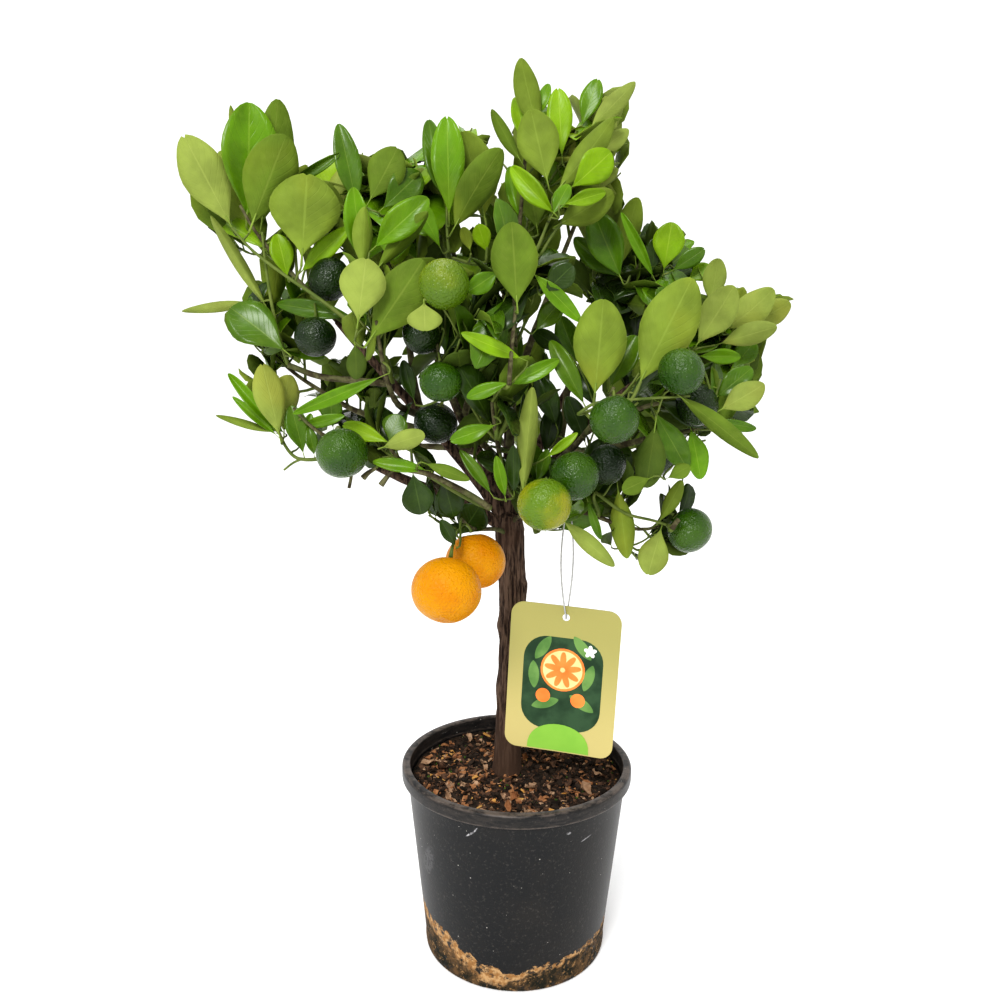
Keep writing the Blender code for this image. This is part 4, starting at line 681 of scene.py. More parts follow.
class Graph:
    """Wires a material's nodes in few words."""

    def __init__(self, name: str) -> None:
        """Makes a material with a Principled shader."""
        self.material = bpy.data.materials.new(name)
        self.material.use_nodes = True
        self.tree = self.material.node_tree
        self.shader = self.tree.nodes["Principled BSDF"]

    def add(self, kind: str, inputs: Optional[dict] = None, **settings: object) -> bpy.types.Node:
        """Adds a node.

        Args:
            kind: The node's type, without ShaderNode.
            inputs: A value or a socket for each of its inputs, by name or number.
            settings: Its properties.

        Returns:
            The node.
        """
        node = self.tree.nodes.new("ShaderNode" + kind)
        for key, value in settings.items():
            setattr(node, key, value)
        for key, value in (inputs or {}).items():
            self.put(node.inputs[key], value)
        return node

    def put(self, socket: bpy.types.NodeSocket, value: object) -> None:
        """Links a socket or sets a value on an input."""
        if isinstance(value, bpy.types.NodeSocket):
            self.tree.links.new(value, socket)
        elif isinstance(value, tuple) and len(value) == 3 and socket.type == "RGBA":
            socket.default_value = (*value, 1.0)
        else:
            socket.default_value = value

    def math(self, operation: str, first: object, second: object = 0.0, clamp: bool = False):
        """Gives the result of a Math node."""
        node = self.add("Math", {0: first, 1: second}, operation=operation, use_clamp=clamp)
        return node.outputs[0]

    def step(self, value: object, low: float, high: float, to_low: float = 0.0, to_high: float = 1.0):
        """Gives a smooth step of a value between two bounds."""
        node = self.add("MapRange", {"Value": value, "From Min": low, "From Max": high, "To Min": to_low,
                                     "To Max": to_high}, interpolation_type="SMOOTHSTEP")
        return node.outputs["Result"]

    def mix(self, factor: object, first: object, second: object, blend: str = "MIX"):
        """Gives the mix of two colours."""
        node = self.add("Mix", {"Factor": factor}, data_type="RGBA", blend_type=blend)
        self.put(node.inputs[6], first)
        self.put(node.inputs[7], second)
        return node.outputs[2]

    def coordinates(self, stretch: Place = (1.0, 1.0, 1.0), turn: Place = (0.0, 0.0, 0.0)):
        """Gives Object coordinates, stretched and then turned."""
        source = self.add("TexCoord").outputs["Object"]
        return self.add("Mapping", {"Vector": source, "Scale": stretch, "Rotation": turn}).outputs["Vector"]

    def noise(self, scale: float, detail: float = 3.0, stretch: Place = (1.0, 1.0, 1.0), rough: float = 0.5,
              turn: Place = (0.0, 0.0, 0.0)):
        """Gives a noise value on Object coordinates."""
        node = self.add("TexNoise", {"Vector": self.coordinates(stretch, turn), "Scale": scale, "Detail": detail,
                                     "Roughness": rough})
        return node.outputs["Fac"]

    def bump(self, height: object, strength: float, distance: float, under: object = None):
        """Gives a bumped normal."""
        node = self.add("Bump", {"Height": height, "Strength": strength, "Distance": distance})
        if under is not None:
            self.put(node.inputs["Normal"], under)
        return node.outputs["Normal"]

    def finish(self, colour: object, roughness: object, normal: object = None, **constants: float):
        """Sets the shader.

        Args:
            colour: The base colour, or a socket that gives it.
            roughness: The roughness, or a socket that gives it.
            normal: A socket that gives the normal.
            constants: Other shader inputs, whose names have spaces as underscores.

        Returns:
            The material.
        """
        self.put(self.shader.inputs["Base Color"], colour)
        self.put(self.shader.inputs["Roughness"], roughness)
        if normal is not None:
            self.put(self.shader.inputs["Normal"], normal)
        for key, value in constants.items():
            self.put(self.shader.inputs[key.replace("_", " ")], value)
        return self.material


@dataclass(frozen=True)
class BladeFinish:
    """One side of a leaf: its colour, the paler midrib, side veins and edge, and its gloss."""

    name: str
    colour: Colour
    vein: Colour
    vein_share: float
    roughness: float
    coat: float

    def make(self) -> bpy.types.Material:
        """Makes the material, whose veins follow the leaf's own UV map."""
        graph = Graph(self.name)
        source = graph.add("TexCoord").outputs["UV"]
        parts = graph.add("SeparateXYZ", {"Vector": source}).outputs
        aside = graph.math("ABSOLUTE", graph.math("SUBTRACT", parts["X"], 0.5))
        midrib = graph.step(aside, 0.008, 0.030, 1.0, 0.0)
        slant = graph.math("SUBTRACT", graph.math("MULTIPLY", parts["Y"], 9.0),
                           graph.math("MULTIPLY", aside, 6.5))
        wave = graph.math("PINGPONG", slant, 0.5)
        veins = graph.step(wave, 0.0, 0.11, 1.0, 0.0)
        edge = graph.step(aside, 0.462, 0.490)
        speckle = graph.noise(160.0, 2.0)
        blotch = graph.noise(30.0, 3.0, rough=0.6)
        yellowing = graph.noise(17.0, 2.0, (1.0, 1.3, 0.8))
        darker = tuple(value * 0.78 for value in self.colour)
        lighter = tuple(min(1.0, value * 1.16) for value in self.colour)
        yellower = tuple(value * share for value, share in zip(self.colour, (1.35, 1.10, 0.9)))
        ground = graph.mix(graph.step(blotch, 0.30, 0.70), darker, lighter)
        ground = graph.mix(graph.step(yellowing, 0.50, 0.68, 0.0, 0.55), ground, yellower)
        ground = graph.mix(graph.math("MULTIPLY", graph.step(speckle, 0.45, 0.75), 0.14), ground, self.vein)
        lines = graph.math("MAXIMUM", midrib, graph.math("MULTIPLY", veins, 0.22))
        lines = graph.math("MAXIMUM", lines, graph.math("MULTIPLY", edge, 0.45))
        ground = graph.mix(graph.math("MULTIPLY", lines, self.vein_share), ground, self.vein)
        height = graph.math("ADD", graph.math("MULTIPLY", graph.math("MAXIMUM", midrib, veins), -1.0),
                            graph.math("MULTIPLY", speckle, 0.35))
        normal = graph.bump(height, 0.35, 0.0004)
        return graph.finish(ground, self.roughness, normal, Coat_Weight=self.coat, Coat_Roughness=0.25,
                            Specular_IOR_Level=0.11)


# The four tones serve as leaf age and as painted light and shade: DARK colours shaded leaves inside the crown, LIME lit
# ones at the top.
TONE_FINISHES = {
    Tone.LIME: (BladeFinish("leaf_lime_top", (0.154, 0.272, 0.004), (0.29, 0.41, 0.04), 0.45, 0.34, 0.08),
                BladeFinish("leaf_lime_under", (0.196, 0.246, 0.048), (0.28, 0.33, 0.08), 0.36, 0.60, 0.0)),
    Tone.FRESH: (BladeFinish("leaf_fresh_top", (0.091, 0.196, 0.003), (0.20, 0.31, 0.03), 0.45, 0.27, 0.14),
                 BladeFinish("leaf_fresh_under", (0.148, 0.206, 0.025), (0.22, 0.29, 0.05), 0.34, 0.62, 0.0)),
    Tone.MID: (BladeFinish("leaf_mid_top", (0.056, 0.122, 0.004), (0.15, 0.22, 0.03), 0.42, 0.23, 0.20),
               BladeFinish("leaf_mid_under", (0.100, 0.156, 0.015), (0.18, 0.23, 0.04), 0.34, 0.64, 0.0)),
    Tone.DARK: (BladeFinish("leaf_dark_top", (0.019, 0.042, 0.003), (0.07, 0.12, 0.02), 0.40, 0.22, 0.26),
                BladeFinish("leaf_dark_under", (0.050, 0.080, 0.010), (0.10, 0.14, 0.02), 0.34, 0.64, 0.0)),
}


@dataclass(frozen=True)
class PlainFinish:
    """A surface of one colour that varies a little, with a fine grain."""

    name: str
    colour: Colour
    second: Colour
    roughness: float
    scale: float
    bump: float = 0.2
    grain: float = 0.0004

    def make(self) -> bpy.types.Material:
        """Makes the material."""
        graph = Graph(self.name)
        patches = graph.noise(self.scale, 4.0)
        ground = graph.mix(graph.step(patches, 0.35, 0.65), self.colour, self.second)
        normal = graph.bump(graph.noise(self.scale * 4.0, 3.0), self.bump, self.grain)
        return graph.finish(ground, self.roughness, normal, Specular_IOR_Level=0.16)


@dataclass(frozen=True)
class BarkFinish:
    """Bark with cracks that run along a nearly upright limb."""

    name: str
    ridge: Colour
    crack: Colour
    tint: Colour
    stretch: Place
    scale: float

    def make(self) -> bpy.types.Material:
        """Makes the material."""
        graph = Graph(self.name)
        cracks = graph.noise(self.scale, 5.0, self.stretch, 0.62, (0.7, 0.5, 0.3))
        patches = graph.noise(45.0, 3.0)
        height = graph.add("SeparateXYZ", {"Vector": graph.coordinates()}).outputs["Z"]
        calm = graph.step(height, 0.150, 0.230, 0.62, 0.0)
        ground = graph.mix(graph.math("MAXIMUM", graph.step(cracks, 0.40, 0.60), calm), self.crack, self.ridge)
        patch = graph.math("MAXIMUM", graph.step(patches, 0.50, 0.72, 0.0, 0.55), calm)
        ground = graph.mix(patch, ground, self.tint)
        relief = graph.math("MULTIPLY", cracks, graph.step(height, 0.150, 0.230, 0.35, 1.0))
        normal = graph.bump(relief, 0.7, 0.0012)
        return graph.finish(ground, 0.80, normal, Specular_IOR_Level=0.12)


@dataclass(frozen=True)
class PeelFinish:
    """Citrus peel: pitted, glossy, and mottled between two colours."""

    name: str
    colour: Colour
    second: Colour
    pore: Colour
    roughness: float
    pores: float = 0.15
    gloss: float = 1.0

    def make(self) -> bpy.types.Material:
        """Makes the material."""
        graph = Graph(self.name)
        pits = graph.add("TexVoronoi", {"Vector": graph.coordinates(), "Scale": 720.0}, feature="F1")
        pit = graph.step(pits.outputs["Distance"], 0.10, 0.42, 1.0, 0.0)
        ground = graph.mix(graph.step(graph.noise(42.0, 3.0), 0.36, 0.64), self.colour, self.second)
        ground = graph.mix(graph.math("MULTIPLY", pit, self.pores), ground, self.pore)
        normal = graph.bump(graph.noise(600.0, 1.0), 0.8, 0.0014, graph.bump(pit, 0.5, -0.0003))
        return graph.finish(ground, self.roughness, normal, Coat_Weight=0.03 * self.gloss, Coat_Roughness=0.16,
                            Specular_IOR_Level=0.30 * self.gloss)


@dataclass(frozen=True)
class PotFinish:
    """Recycled dark plastic: dusty, specked, with a tide of dried mud and moss near the foot."""

    name: str = "pot_plastic_worn"
    plastic: Colour = (0.0058, 0.0062, 0.0070)
    dusty: Colour = (0.0165, 0.0140, 0.0118)
    mud: Colour = (0.270, 0.135, 0.045)
    moss: Colour = (0.010, 0.010, 0.005)
    tide_height: float = 0.0165
    tide_left: float = 0.0300
    tide_right: float = 0.0190
    tide_width: float = 0.0115
    radius: float = 0.078
    lip_base: float = 0.1488
    lip_top: float = 0.160
    marks: tuple[tuple[float, float, float, float, float, float], ...] = (
        (-0.0335, 0.1385, 0.0060, 0.0009, 42.0, 0.9), (-0.0300, 0.1425, 0.0030, 0.0005, 55.0, 0.7),
        (-0.0690, 0.0960, 0.0170, 0.0050, 80.0, 0.10), (0.0540, 0.1290, 0.0050, 0.0006, 20.0, 0.6),
        (0.0400, 0.1385, 0.0022, 0.0014, 0.0, 0.5),
    )

    def make(self) -> bpy.types.Material:
        """Makes the material on Object coordinates, which are metres from the pot's foot."""
        graph = Graph(self.name)
        place = graph.coordinates()
        parts = graph.add("SeparateXYZ", {"Vector": place}).outputs
        across = graph.math("MULTIPLY", parts["X"], 1.0 / self.radius)
        left = graph.math("POWER", graph.math("MAXIMUM", graph.math("MULTIPLY", across, -1.0), 0.0), 1.3)
        right = graph.math("POWER", graph.math("MAXIMUM", graph.math("SUBTRACT", across, 0.10), 0.0), 1.1)
        ragged = graph.math("MULTIPLY", graph.math("SUBTRACT", graph.noise(34.0, 6.0, rough=0.66), 0.5), 0.034)
        top = graph.math("ADD", self.tide_height, graph.math("MULTIPLY", left, self.tide_left))
        top = graph.math("ADD", top, graph.math("MULTIPLY", right, self.tide_right))
        top = graph.math("ADD", top, ragged)
        below = graph.math("SUBTRACT", top, parts["Z"])
        width = graph.step(across, -0.25, 0.20, self.tide_width, self.tide_width * 0.45)
        share = graph.math("DIVIDE", below, width)
        rough_edge = graph.math("SUBTRACT", graph.noise(150.0, 5.0, rough=0.72),
                                graph.math("MULTIPLY", right, 0.10))
        holes = graph.step(rough_edge, 0.38, 0.50)
        band = graph.math("MULTIPLY", graph.math("MULTIPLY", graph.step(share, 0.0, 0.12),
                                                 graph.step(share, 0.75, 1.30, 1.0, 0.0)), holes)
        crust = graph.math("MULTIPLY", graph.step(share, 0.5, 1.2),
                           graph.step(graph.noise(110.0, 6.0, rough=0.75), 0.34, 0.48))
        dots = graph.math("MULTIPLY", graph.step(share, 0.6, 1.2),
                          graph.step(graph.noise(260.0, 5.0, rough=0.75), 0.56, 0.62))
        haze = graph.step(graph.noise(11.0, 5.0, rough=0.62), 0.40, 0.72, 0.0, 0.7)
        warm = graph.step(parts["X"], 0.01, 0.09, 0.0, 0.75)
        ground = graph.mix(graph.math("MAXIMUM", haze, warm), self.plastic, self.dusty)
        mottle = graph.step(graph.noise(420.0, 4.0, rough=0.7), 0.54, 0.70, 0.0, 0.45)
        ground = graph.mix(mottle, ground, (0.066, 0.059, 0.052))
        on_lip = graph.step(parts["Z"], self.lip_base - 0.001, self.lip_base + 0.001)
        edges = graph.math("MAXIMUM", graph.step(parts["Z"], self.lip_top - 0.0022, self.lip_top - 0.0006),
                           graph.step(parts["Z"], self.lip_base + 0.0006, self.lip_base + 0.0022, 1.0, 0.0))
        worn = graph.math("MULTIPLY", graph.math("ADD", 0.12, graph.math("MULTIPLY", edges, 0.55)),
                          graph.step(graph.noise(150.0, 6.0, (0.6, 0.6, 2.6), 0.7), 0.36, 0.62))
        ground = graph.mix(graph.math("MULTIPLY", worn, on_lip), ground, (0.150, 0.120, 0.100))
        scuffs = graph.step(graph.noise(70.0, 6.0, (0.5, 0.5, 3.0), 0.75), 0.64, 0.70, 0.0, 0.45)
        ground = graph.mix(graph.math("MULTIPLY", scuffs, on_lip), ground, (0.300, 0.280, 0.270))
        for scale, low, high, chance in ((95.0, 0.030, 0.060, 0.70), (190.0, 0.040, 0.080, 0.80)):
            cells = graph.add("TexVoronoi", {"Vector": place, "Scale": scale}, feature="F1")
            chosen = graph.add("SeparateXYZ", {"Vector": cells.outputs["Color"]}).outputs["X"]
            speck = graph.math("MULTIPLY", graph.step(cells.outputs["Distance"], low, high, 1.0, 0.0),
                               graph.step(chosen, chance, chance + 0.01))
            ground = graph.mix(graph.math("MULTIPLY", speck, 0.85), ground, (0.45, 0.43, 0.39))
        for x, z, long, thin, angle, strength in self.marks:
            aside = graph.math("SUBTRACT", parts["X"], x)
            above = graph.math("SUBTRACT", parts["Z"], z)
            cosine, sine = math.cos(math.radians(angle)), math.sin(math.radians(angle))
            along = graph.math("ADD", graph.math("MULTIPLY", aside, cosine / long),
                               graph.math("MULTIPLY", above, sine / long))
            off = graph.math("ADD", graph.math("MULTIPLY", aside, -sine / thin),
                             graph.math("MULTIPLY", above, cosine / thin))
            far = graph.math("ADD", graph.math("MULTIPLY", along, along), graph.math("MULTIPLY", off, off))
            mark = graph.math("MULTIPLY", graph.step(far, 0.3, 1.0, strength, 0.0),
                              graph.step(graph.noise(300.0, 4.0, rough=0.7), 0.40, 0.55))
            mark = graph.math("MULTIPLY", mark, graph.step(parts["Y"], -0.02, 0.0, 1.0, 0.0))
            ground = graph.mix(mark, ground, (0.42, 0.41, 0.42))
        ground = graph.mix(crust, ground, graph.mix(graph.step(graph.noise(60.0, 6.0, rough=0.7), 0.42, 0.62), self.moss,
                                                    (0.110, 0.062, 0.026)))
        ground = graph.mix(graph.math("MULTIPLY", dots, 0.8), ground, (0.30, 0.17, 0.07))
        ground = graph.mix(band, ground, graph.mix(graph.step(graph.noise(240.0, 3.0), 0.38, 0.62),
                                                   self.mud, (0.46, 0.28, 0.13)))
        dirt = graph.math("MAXIMUM", band, graph.math("MAXIMUM", crust, dots))
        rough = graph.math("ADD", 0.40, graph.math("MULTIPLY", dirt, 0.45))
        grain = graph.math("ADD", graph.math("MULTIPLY", graph.noise(700.0, 2.0), 0.15),
                           graph.math("MULTIPLY", dirt, graph.noise(300.0, 4.0)))
        return graph.finish(ground, rough, graph.bump(grain, 0.6, 0.0010), Specular_IOR_Level=0.24)


# The wood: trunk and boughs


@dataclass
class Wood:
    """The trunk and its boughs, with the routes of the part's source and relief on the bark."""

    foot: Vector = field(default_factory=lambda: Vector((-0.008, 0.0, 0.1483)))
    radius: float = 0.0105
    bow: float = 0.005
    flare: float = 0.0024
    flare_height: float = 0.014
    graft_height: float = 0.353
    graft_swell: float = 0.0010
    graft_reach: float = 0.011
    top: float = 0.004
    main_radius: tuple[float, float] = (0.0052, 0.0026)
    side_radius: tuple[float, float] = (0.0034, 0.0019)
    trunk_sides: int = 96
    trunk_rings: int = 150
    relief: float = 0.0009
    knobs: tuple[tuple[float, float, float, float], ...] = (
        (0.309, -20.0, 0.0016, 0.006), (0.276, 190.0, 0.0018, 0.007), (0.243, -60.0, 0.0011, 0.008),
        (0.222, 170.0, 0.0013, 0.010), (0.195, 10.0, 0.0012, 0.009), (0.334, 150.0, 0.0012, 0.005),
    )

    def __post_init__(self) -> None:
        """Works out the routes of all limbs."""
        self.paths: dict[str, Path] = {"trunk": self.trunk_path()}
        for branch in BRANCHES:
            if branch.bough:
                self.paths[branch.name] = self.bough_path(branch)

    def trunk_path(self) -> Path:
        """Gives the trunk's route and radii: a slight bow, a flare at the foot and the graft's swelling."""
        height = FORK.z - self.foot.z
        points, radii = [], []
        for step in range(self.trunk_rings + 1):
            share = step / self.trunk_rings
            rise = height * share
            bow = self.bow * math.sin(math.pi * share) * (0.4 + 0.8 * share)
            points.append(self.foot.lerp(FORK, share) + Vector((bow, 0.0, 0.0)))
            radius = self.radius * (1.0 - 0.02 * share) + self.flare * math.exp(-rise / self.flare_height)
            graft = (self.foot.z + rise - self.graft_height) / self.graft_reach
            radii.append(radius + self.graft_swell * math.exp(-graft ** 2))
        points.append(FORK + UP * self.top)
        radii.append(self.radius * 0.62)
        return Path(points, radii)

    def bough_path(self, branch: Branch, count: int = 18) -> Path:
        """Gives a bough's route from the axis of what carries it to its tip.

        Args:
            branch: The bough.
            count: How many points the route has.

        Returns:
            The route.
        """
        start, heading, carrier = self.paths[branch.parent].at(branch.start)
        end, beyond = polar(branch.end), polar(branch.tip)
        straight = (end - start).normalized()
        away = (straight + heading * 0.35).normalized()
        arrive = (straight * 0.5 + (beyond - end).normalized()).normalized()
        points = bezier(start, away, end, arrive, count)
        if branch.parent == "trunk":
            return Path(points, taper(*self.main_radius, count))
        first = min(self.side_radius[0], carrier * 0.85)
        return Path(points, taper(first, self.side_radius[1], count))

    def ridge(self, point: Vector) -> float:
        """Gives how far the trunk's bark stands out at a point, from -1 to 1, in long upright ridges."""
        probe = Vector((point.x * 330.0, point.y * 330.0, point.z * 46.0 + point.x * 90.0 + point.y * 70.0))
        warp = noise.noise(Vector((point.x * 60.0, point.y * 60.0, point.z * 45.0)))
        probe += Vector((warp, warp, 0.0)) * 0.9
        sharp = 1.0 - 2.4 * abs(noise.noise(probe))
        fine = noise.noise(probe * 2.6 + UP * 7.0)
        return max(-1.0, sharp) * 0.8 + fine * 0.35

    def make_trunk(self, bark: bpy.types.Material) -> bpy.types.Object:
        """Makes the trunk, with cracked bark, knobs and a rough fork.

        Args:
            bark: Its material.

        Returns:
            The piece.
        """
        shape = sweep(self.paths["trunk"], self.trunk_sides)
        shape.normal_update()
        moves = []
        for vertex in shape.verts:
            spot, rise = vertex.co, vertex.co.z
            outward = Vector((vertex.normal.x, vertex.normal.y, 0.0))
            fade = 0.25 + 0.75 * (1.0 - math.exp(-(((rise - self.foot.z) / 0.030) ** 2)))
            move = self.relief * self.ridge(spot) * fade
            bearing = math.degrees(math.atan2(spot.y, spot.x + 0.005))
            for height, way, bulge, reach in self.knobs:
                turn = (bearing - way + 180.0) % 360.0 - 180.0
                off = ((rise - height) / reach) ** 2 + (turn / 45.0) ** 2
                move += bulge * math.exp(-off)
            burl = math.exp(-((rise - FORK.z) / 0.012) ** 2)
            move += burl * 0.0014 * noise.noise(spot * 260.0)
            moves.append((vertex, outward * move * fade))
        for vertex, move in moves:
            vertex.co += move
        piece = object_from("trunk_bark", shape, [bark])
        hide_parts("trunk")
        return piece

    def make_boughs(self, barks: Sequence[bpy.types.Material]) -> bpy.types.Object:
        """Makes all the boughs as one piece with knotty bark.

        Args:
            barks: The material of the main boughs and that of the side boughs.

        Returns:
            The piece.
        """
        gathering = Gathering("boughs_bark", barks)
        boughs = [branch for branch in BRANCHES if branch.bough]
        for branch in boughs:
            main = branch.parent == "trunk"
            shape = sweep(self.paths[branch.name], 14 if main else 10)
            shape.normal_update()
            for vertex in shape.verts:
                bump = noise.noise(vertex.co * 230.0) * 0.0005 + noise.noise(vertex.co * 700.0) * 0.00018
                vertex.co += vertex.normal * bump
            gathering.add(Template.of(shape), slots=[0 if main else 1])
        piece = gathering.build()
        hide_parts(*[f"bough_{branch.name}" for branch in boughs])
        return piece


# Leaves


@dataclass(frozen=True)
class LeafForm:
    """The outline and the bend of a leaf, in shares of its length.

    Its blade runs from the origin along +Y with its upper side to +Z, on a stalk that reaches back.
    """

    width: float
    widest: float
    fold: float
    curl: float
    wave: float
    notch: float = 0.0
    stalk: float = 0.13
    thickness: float = 0.0050
    rows: tuple[float, ...] = (0.0, 0.13, 0.32, 0.53, 0.74, 0.91, 1.0)
    columns: int = 2

    def half_width(self, along: float) -> float:
        """Gives half the blade's width at a share of its length: wedge foot, rounded tip."""
        power = math.log(0.5) / math.log(self.widest)
        swell = math.sin(math.pi * min(along, 0.997) ** power)
        return 0.5 * self.width * max(swell, 0.0) ** (1.05 - 0.50 * along) + 0.009 * (1.0 - along)

    def make(self) -> Template:
        """Makes the leaf: a two-sided blade with a rim, and its stalk.

        Returns:
            The template, whose slots are upper side, underside and stalk.
        """
        shape = bmesh.new()
        uv = shape.loops.layers.uv.new("UVMap")
        count = len(self.rows) - 1
        bmesh.ops.create_grid(shape, x_segments=self.columns, y_segments=count, size=0.5, calc_uvs=True)
        spine = self.spine()
        for vertex in shape.verts:
            row = round((vertex.co.y + 0.5) * count)
            across = vertex.co.x * 2.0
            along = self.rows[row]
            forward, height, angle = spine[row]
            half = self.half_width(along)
            lift = self.fold * abs(across) ** 1.3 * half * 2.0
            lift += self.wave * math.sin(along * 8.0 + across) * abs(across) * half
            dent = self.notch * (1.0 - abs(across)) * along ** 30
            vertex.co = (across * half, forward - dent - lift * math.sin(angle),
                         height + lift * math.cos(angle))
        for face in shape.faces:
            face.smooth = True
            for loop in face.loops:
                row = round(loop[uv].uv.y * count)
                loop[uv].uv.y = self.rows[row]
        shape.normal_update()
        if shape.faces[:][0].normal.z < 0:
            bmesh.ops.reverse_faces(shape, faces=shape.faces)
        upper = shape.faces[:]
        rim = [edge for edge in shape.edges if edge.is_boundary]
        copy = bmesh.ops.duplicate(shape, geom=upper)["geom"]
        lower = [bit for bit in copy if isinstance(bit, bmesh.types.BMFace)]
        bmesh.ops.reverse_faces(shape, faces=lower)
        under = [bit for bit in copy if isinstance(bit, bmesh.types.BMVert)]
        bmesh.ops.translate(shape, vec=(0.0, 0.0, -self.thickness), verts=under)
        for face in lower:
            face.material_index = 1
        rim += [bit for bit in copy if isinstance(bit, bmesh.types.BMEdge) and bit.is_boundary]
        for face in bmesh.ops.bridge_loops(shape, edges=rim)["faces"]:
            face.material_index = 1
            face.smooth = False
        self.add_stalk(shape)
        return Template.of(shape)

    def spine(self) -> list[tuple[float, float, float]]:
        """Gives the midrib's forward place, height and slope at each row, bent back by the curl."""
        places = [(0.0, 0.0, 0.25 * self.curl)]
        for low, high in zip(self.rows, self.rows[1:]):
            angle = self.curl * (0.25 - (low + high) / 2)
            forward, height, _ = places[-1]
            places.append((forward + (high - low) * math.cos(angle), height + (high - low) * math.sin(angle),
                           angle))
        return places

    def add_stalk(self, shape: bmesh.types.BMesh) -> None:
        """Adds the stalk, which runs back from the blade and a little way under it."""
        length = self.stalk + 0.10
        made = bmesh.ops.create_cone(shape, cap_ends=True, segments=5, radius1=0.013, radius2=0.007,
                                     depth=length)["verts"]
        turn = Matrix.Rotation(math.radians(-90), 4, "X")
        shift = Matrix.Translation((0.0, 0.10 - length / 2, -self.thickness))
        bmesh.ops.transform(shape, matrix=shift @ turn, verts=made)
        for face in {face for vertex in made for face in vertex.link_faces}:
            face.material_index = 2
            face.smooth = True


@dataclass
class LeafStore:
    """The leaf templates in their forms, and the materials of all leaves."""

    def __post_init__(self) -> None:
        """Makes the templates and the materials."""
        self.forms = {
            "oval": [LeafForm(0.50, 0.56, 0.10, 0.35, 0.10), LeafForm(0.46, 0.54, 0.16, 0.55, 0.16),
                     LeafForm(0.53, 0.58, 0.06, 0.20, 0.12, notch=0.03),
                     LeafForm(0.48, 0.55, 0.22, 0.15, 0.08), LeafForm(0.44, 0.52, 0.12, 0.80, 0.20)],
            "broad": [LeafForm(0.62, 0.60, 0.05, 0.18, 0.08, notch=0.02), LeafForm(0.72, 0.60, 0.07, 0.25, 0.10)],
            "narrow": [LeafForm(0.36, 0.50, 0.14, 0.30, 0.10), LeafForm(0.32, 0.52, 0.24, 0.60, 0.14)],
            "folded": [LeafForm(0.44, 0.56, 0.42, 0.30, 0.06)],
        }
        self.templates = {kind: [form.make() for form in forms] for kind, forms in self.forms.items()}
        rows = (0.0, 0.06, 0.14, 0.24, 0.35, 0.46, 0.57, 0.67, 0.76, 0.84, 0.91, 0.96, 0.99, 1.0)
        self.fine = {kind: [replace(form, rows=rows, columns=6).make() for form in forms]
                     for kind, forms in self.forms.items()}
        self.materials = [finish.make() for tone in Tone for finish in TONE_FINISHES[tone]]
        self.materials.append(PlainFinish("leaf_stalk", (0.160, 0.230, 0.035), (0.210, 0.290, 0.050), 0.6, 80.0).make())

    def slots(self, tone: Tone) -> list[int]:
        """Gives the slots of a tone's upper side and underside, and of the stalk."""
        first = tone.value * 2
        return [first, first + 1, len(Tone) * 2]


@dataclass(frozen=True)
class Viewpoint:
    """The photograph's camera, which also places what is measured in its pixels."""

    place: Place = (0.0, -0.7243, 0.5064)
    pitch: float = 0.1744
    yaw: float = -0.0216
    roll: float = 0.0087
    lens: float = 33.35
    sensor: float = 36.0
    frame: float = 1000.0

    def axes(self) -> tuple[Vector, Vector, Vector]:
        """Gives the directions to the right, up and ahead."""
        forward = Vector((math.sin(self.yaw) * math.cos(self.pitch), math.cos(self.yaw) * math.cos(self.pitch),
                          -math.sin(self.pitch)))
        level = Vector((math.cos(self.yaw), -math.sin(self.yaw), 0.0))
        lift = level.cross(forward)
        right = level * math.cos(self.roll) + lift * math.sin(self.roll)
        up = lift * math.cos(self.roll) - level * math.sin(self.roll)
        return right, up, forward

    def ray(self, pixel: Pixel) -> Vector:
        """Gives the direction in which a pixel looks."""
        right, up, forward = self.axes()
        focal = self.lens / self.sensor * self.frame
        half = self.frame / 2
        return (forward + right * ((pixel[0] - half) / focal) + up * ((half - pixel[1]) / focal)).normalized()

    def point(self, pixel: Pixel, depth: float) -> Vector:
        """Gives the point seen at a pixel where its Y is the depth."""
        way = self.ray(pixel)
        return Vector(self.place) + way * ((depth - self.place[1]) / way.y)

    def spread(self, radius: float) -> float:
        """Gives a pixel radius as a share of the distance."""
        return radius * self.sensor / self.lens / self.frame


class Sight:
    """Lines of sight that later leaves keep clear: to the fruit, the seen leaves and the gaps."""

    def __init__(self, view: Viewpoint) -> None:
        """Starts with the gaps of the crown."""
        self.eye = np.array(view.place)
        self.ways: list[np.ndarray] = [np.array(view.ray(gap.centre)) for gap in SKY_GAPS]
        self.reaches: list[float] = [9.0] * len(SKY_GAPS)
        self.spreads: list[float] = [view.spread(gap.radius) for gap in SKY_GAPS]
        self.table: Optional[tuple[np.ndarray, np.ndarray, np.ndarray]] = None

    def protect(self, centre: Vector, radius: float, behind: float = -0.003) -> None:
        """Keeps the line of sight to a ball clear, to a distance behind its centre."""
        offset = np.array(centre) - self.eye
        distance = float(np.linalg.norm(offset))
        self.ways.append(offset / distance)
        self.reaches.append(distance + behind)
        self.spreads.append(radius / distance)
        self.table = None

    def blocked_by(self, points: Sequence[Vector]) -> bool:
        """Says whether any of the points stands in a line of sight."""
        if self.table is None:
            self.table = (np.array(self.ways), np.array(self.reaches), np.array(self.spreads))
        ways, reaches, spreads = self.table
        offsets = np.array([point[:] for point in points]) - self.eye
        along = offsets @ ways.T
        aside = (offsets ** 2).sum(axis=1)[:, None] - along ** 2
        return bool(((aside < (spreads * along) ** 2) & (along < reaches)).any())


@dataclass(frozen=True)
class Ball:
    """A round obstacle that leaves keep away from."""

    centre: Vector
    radius: float


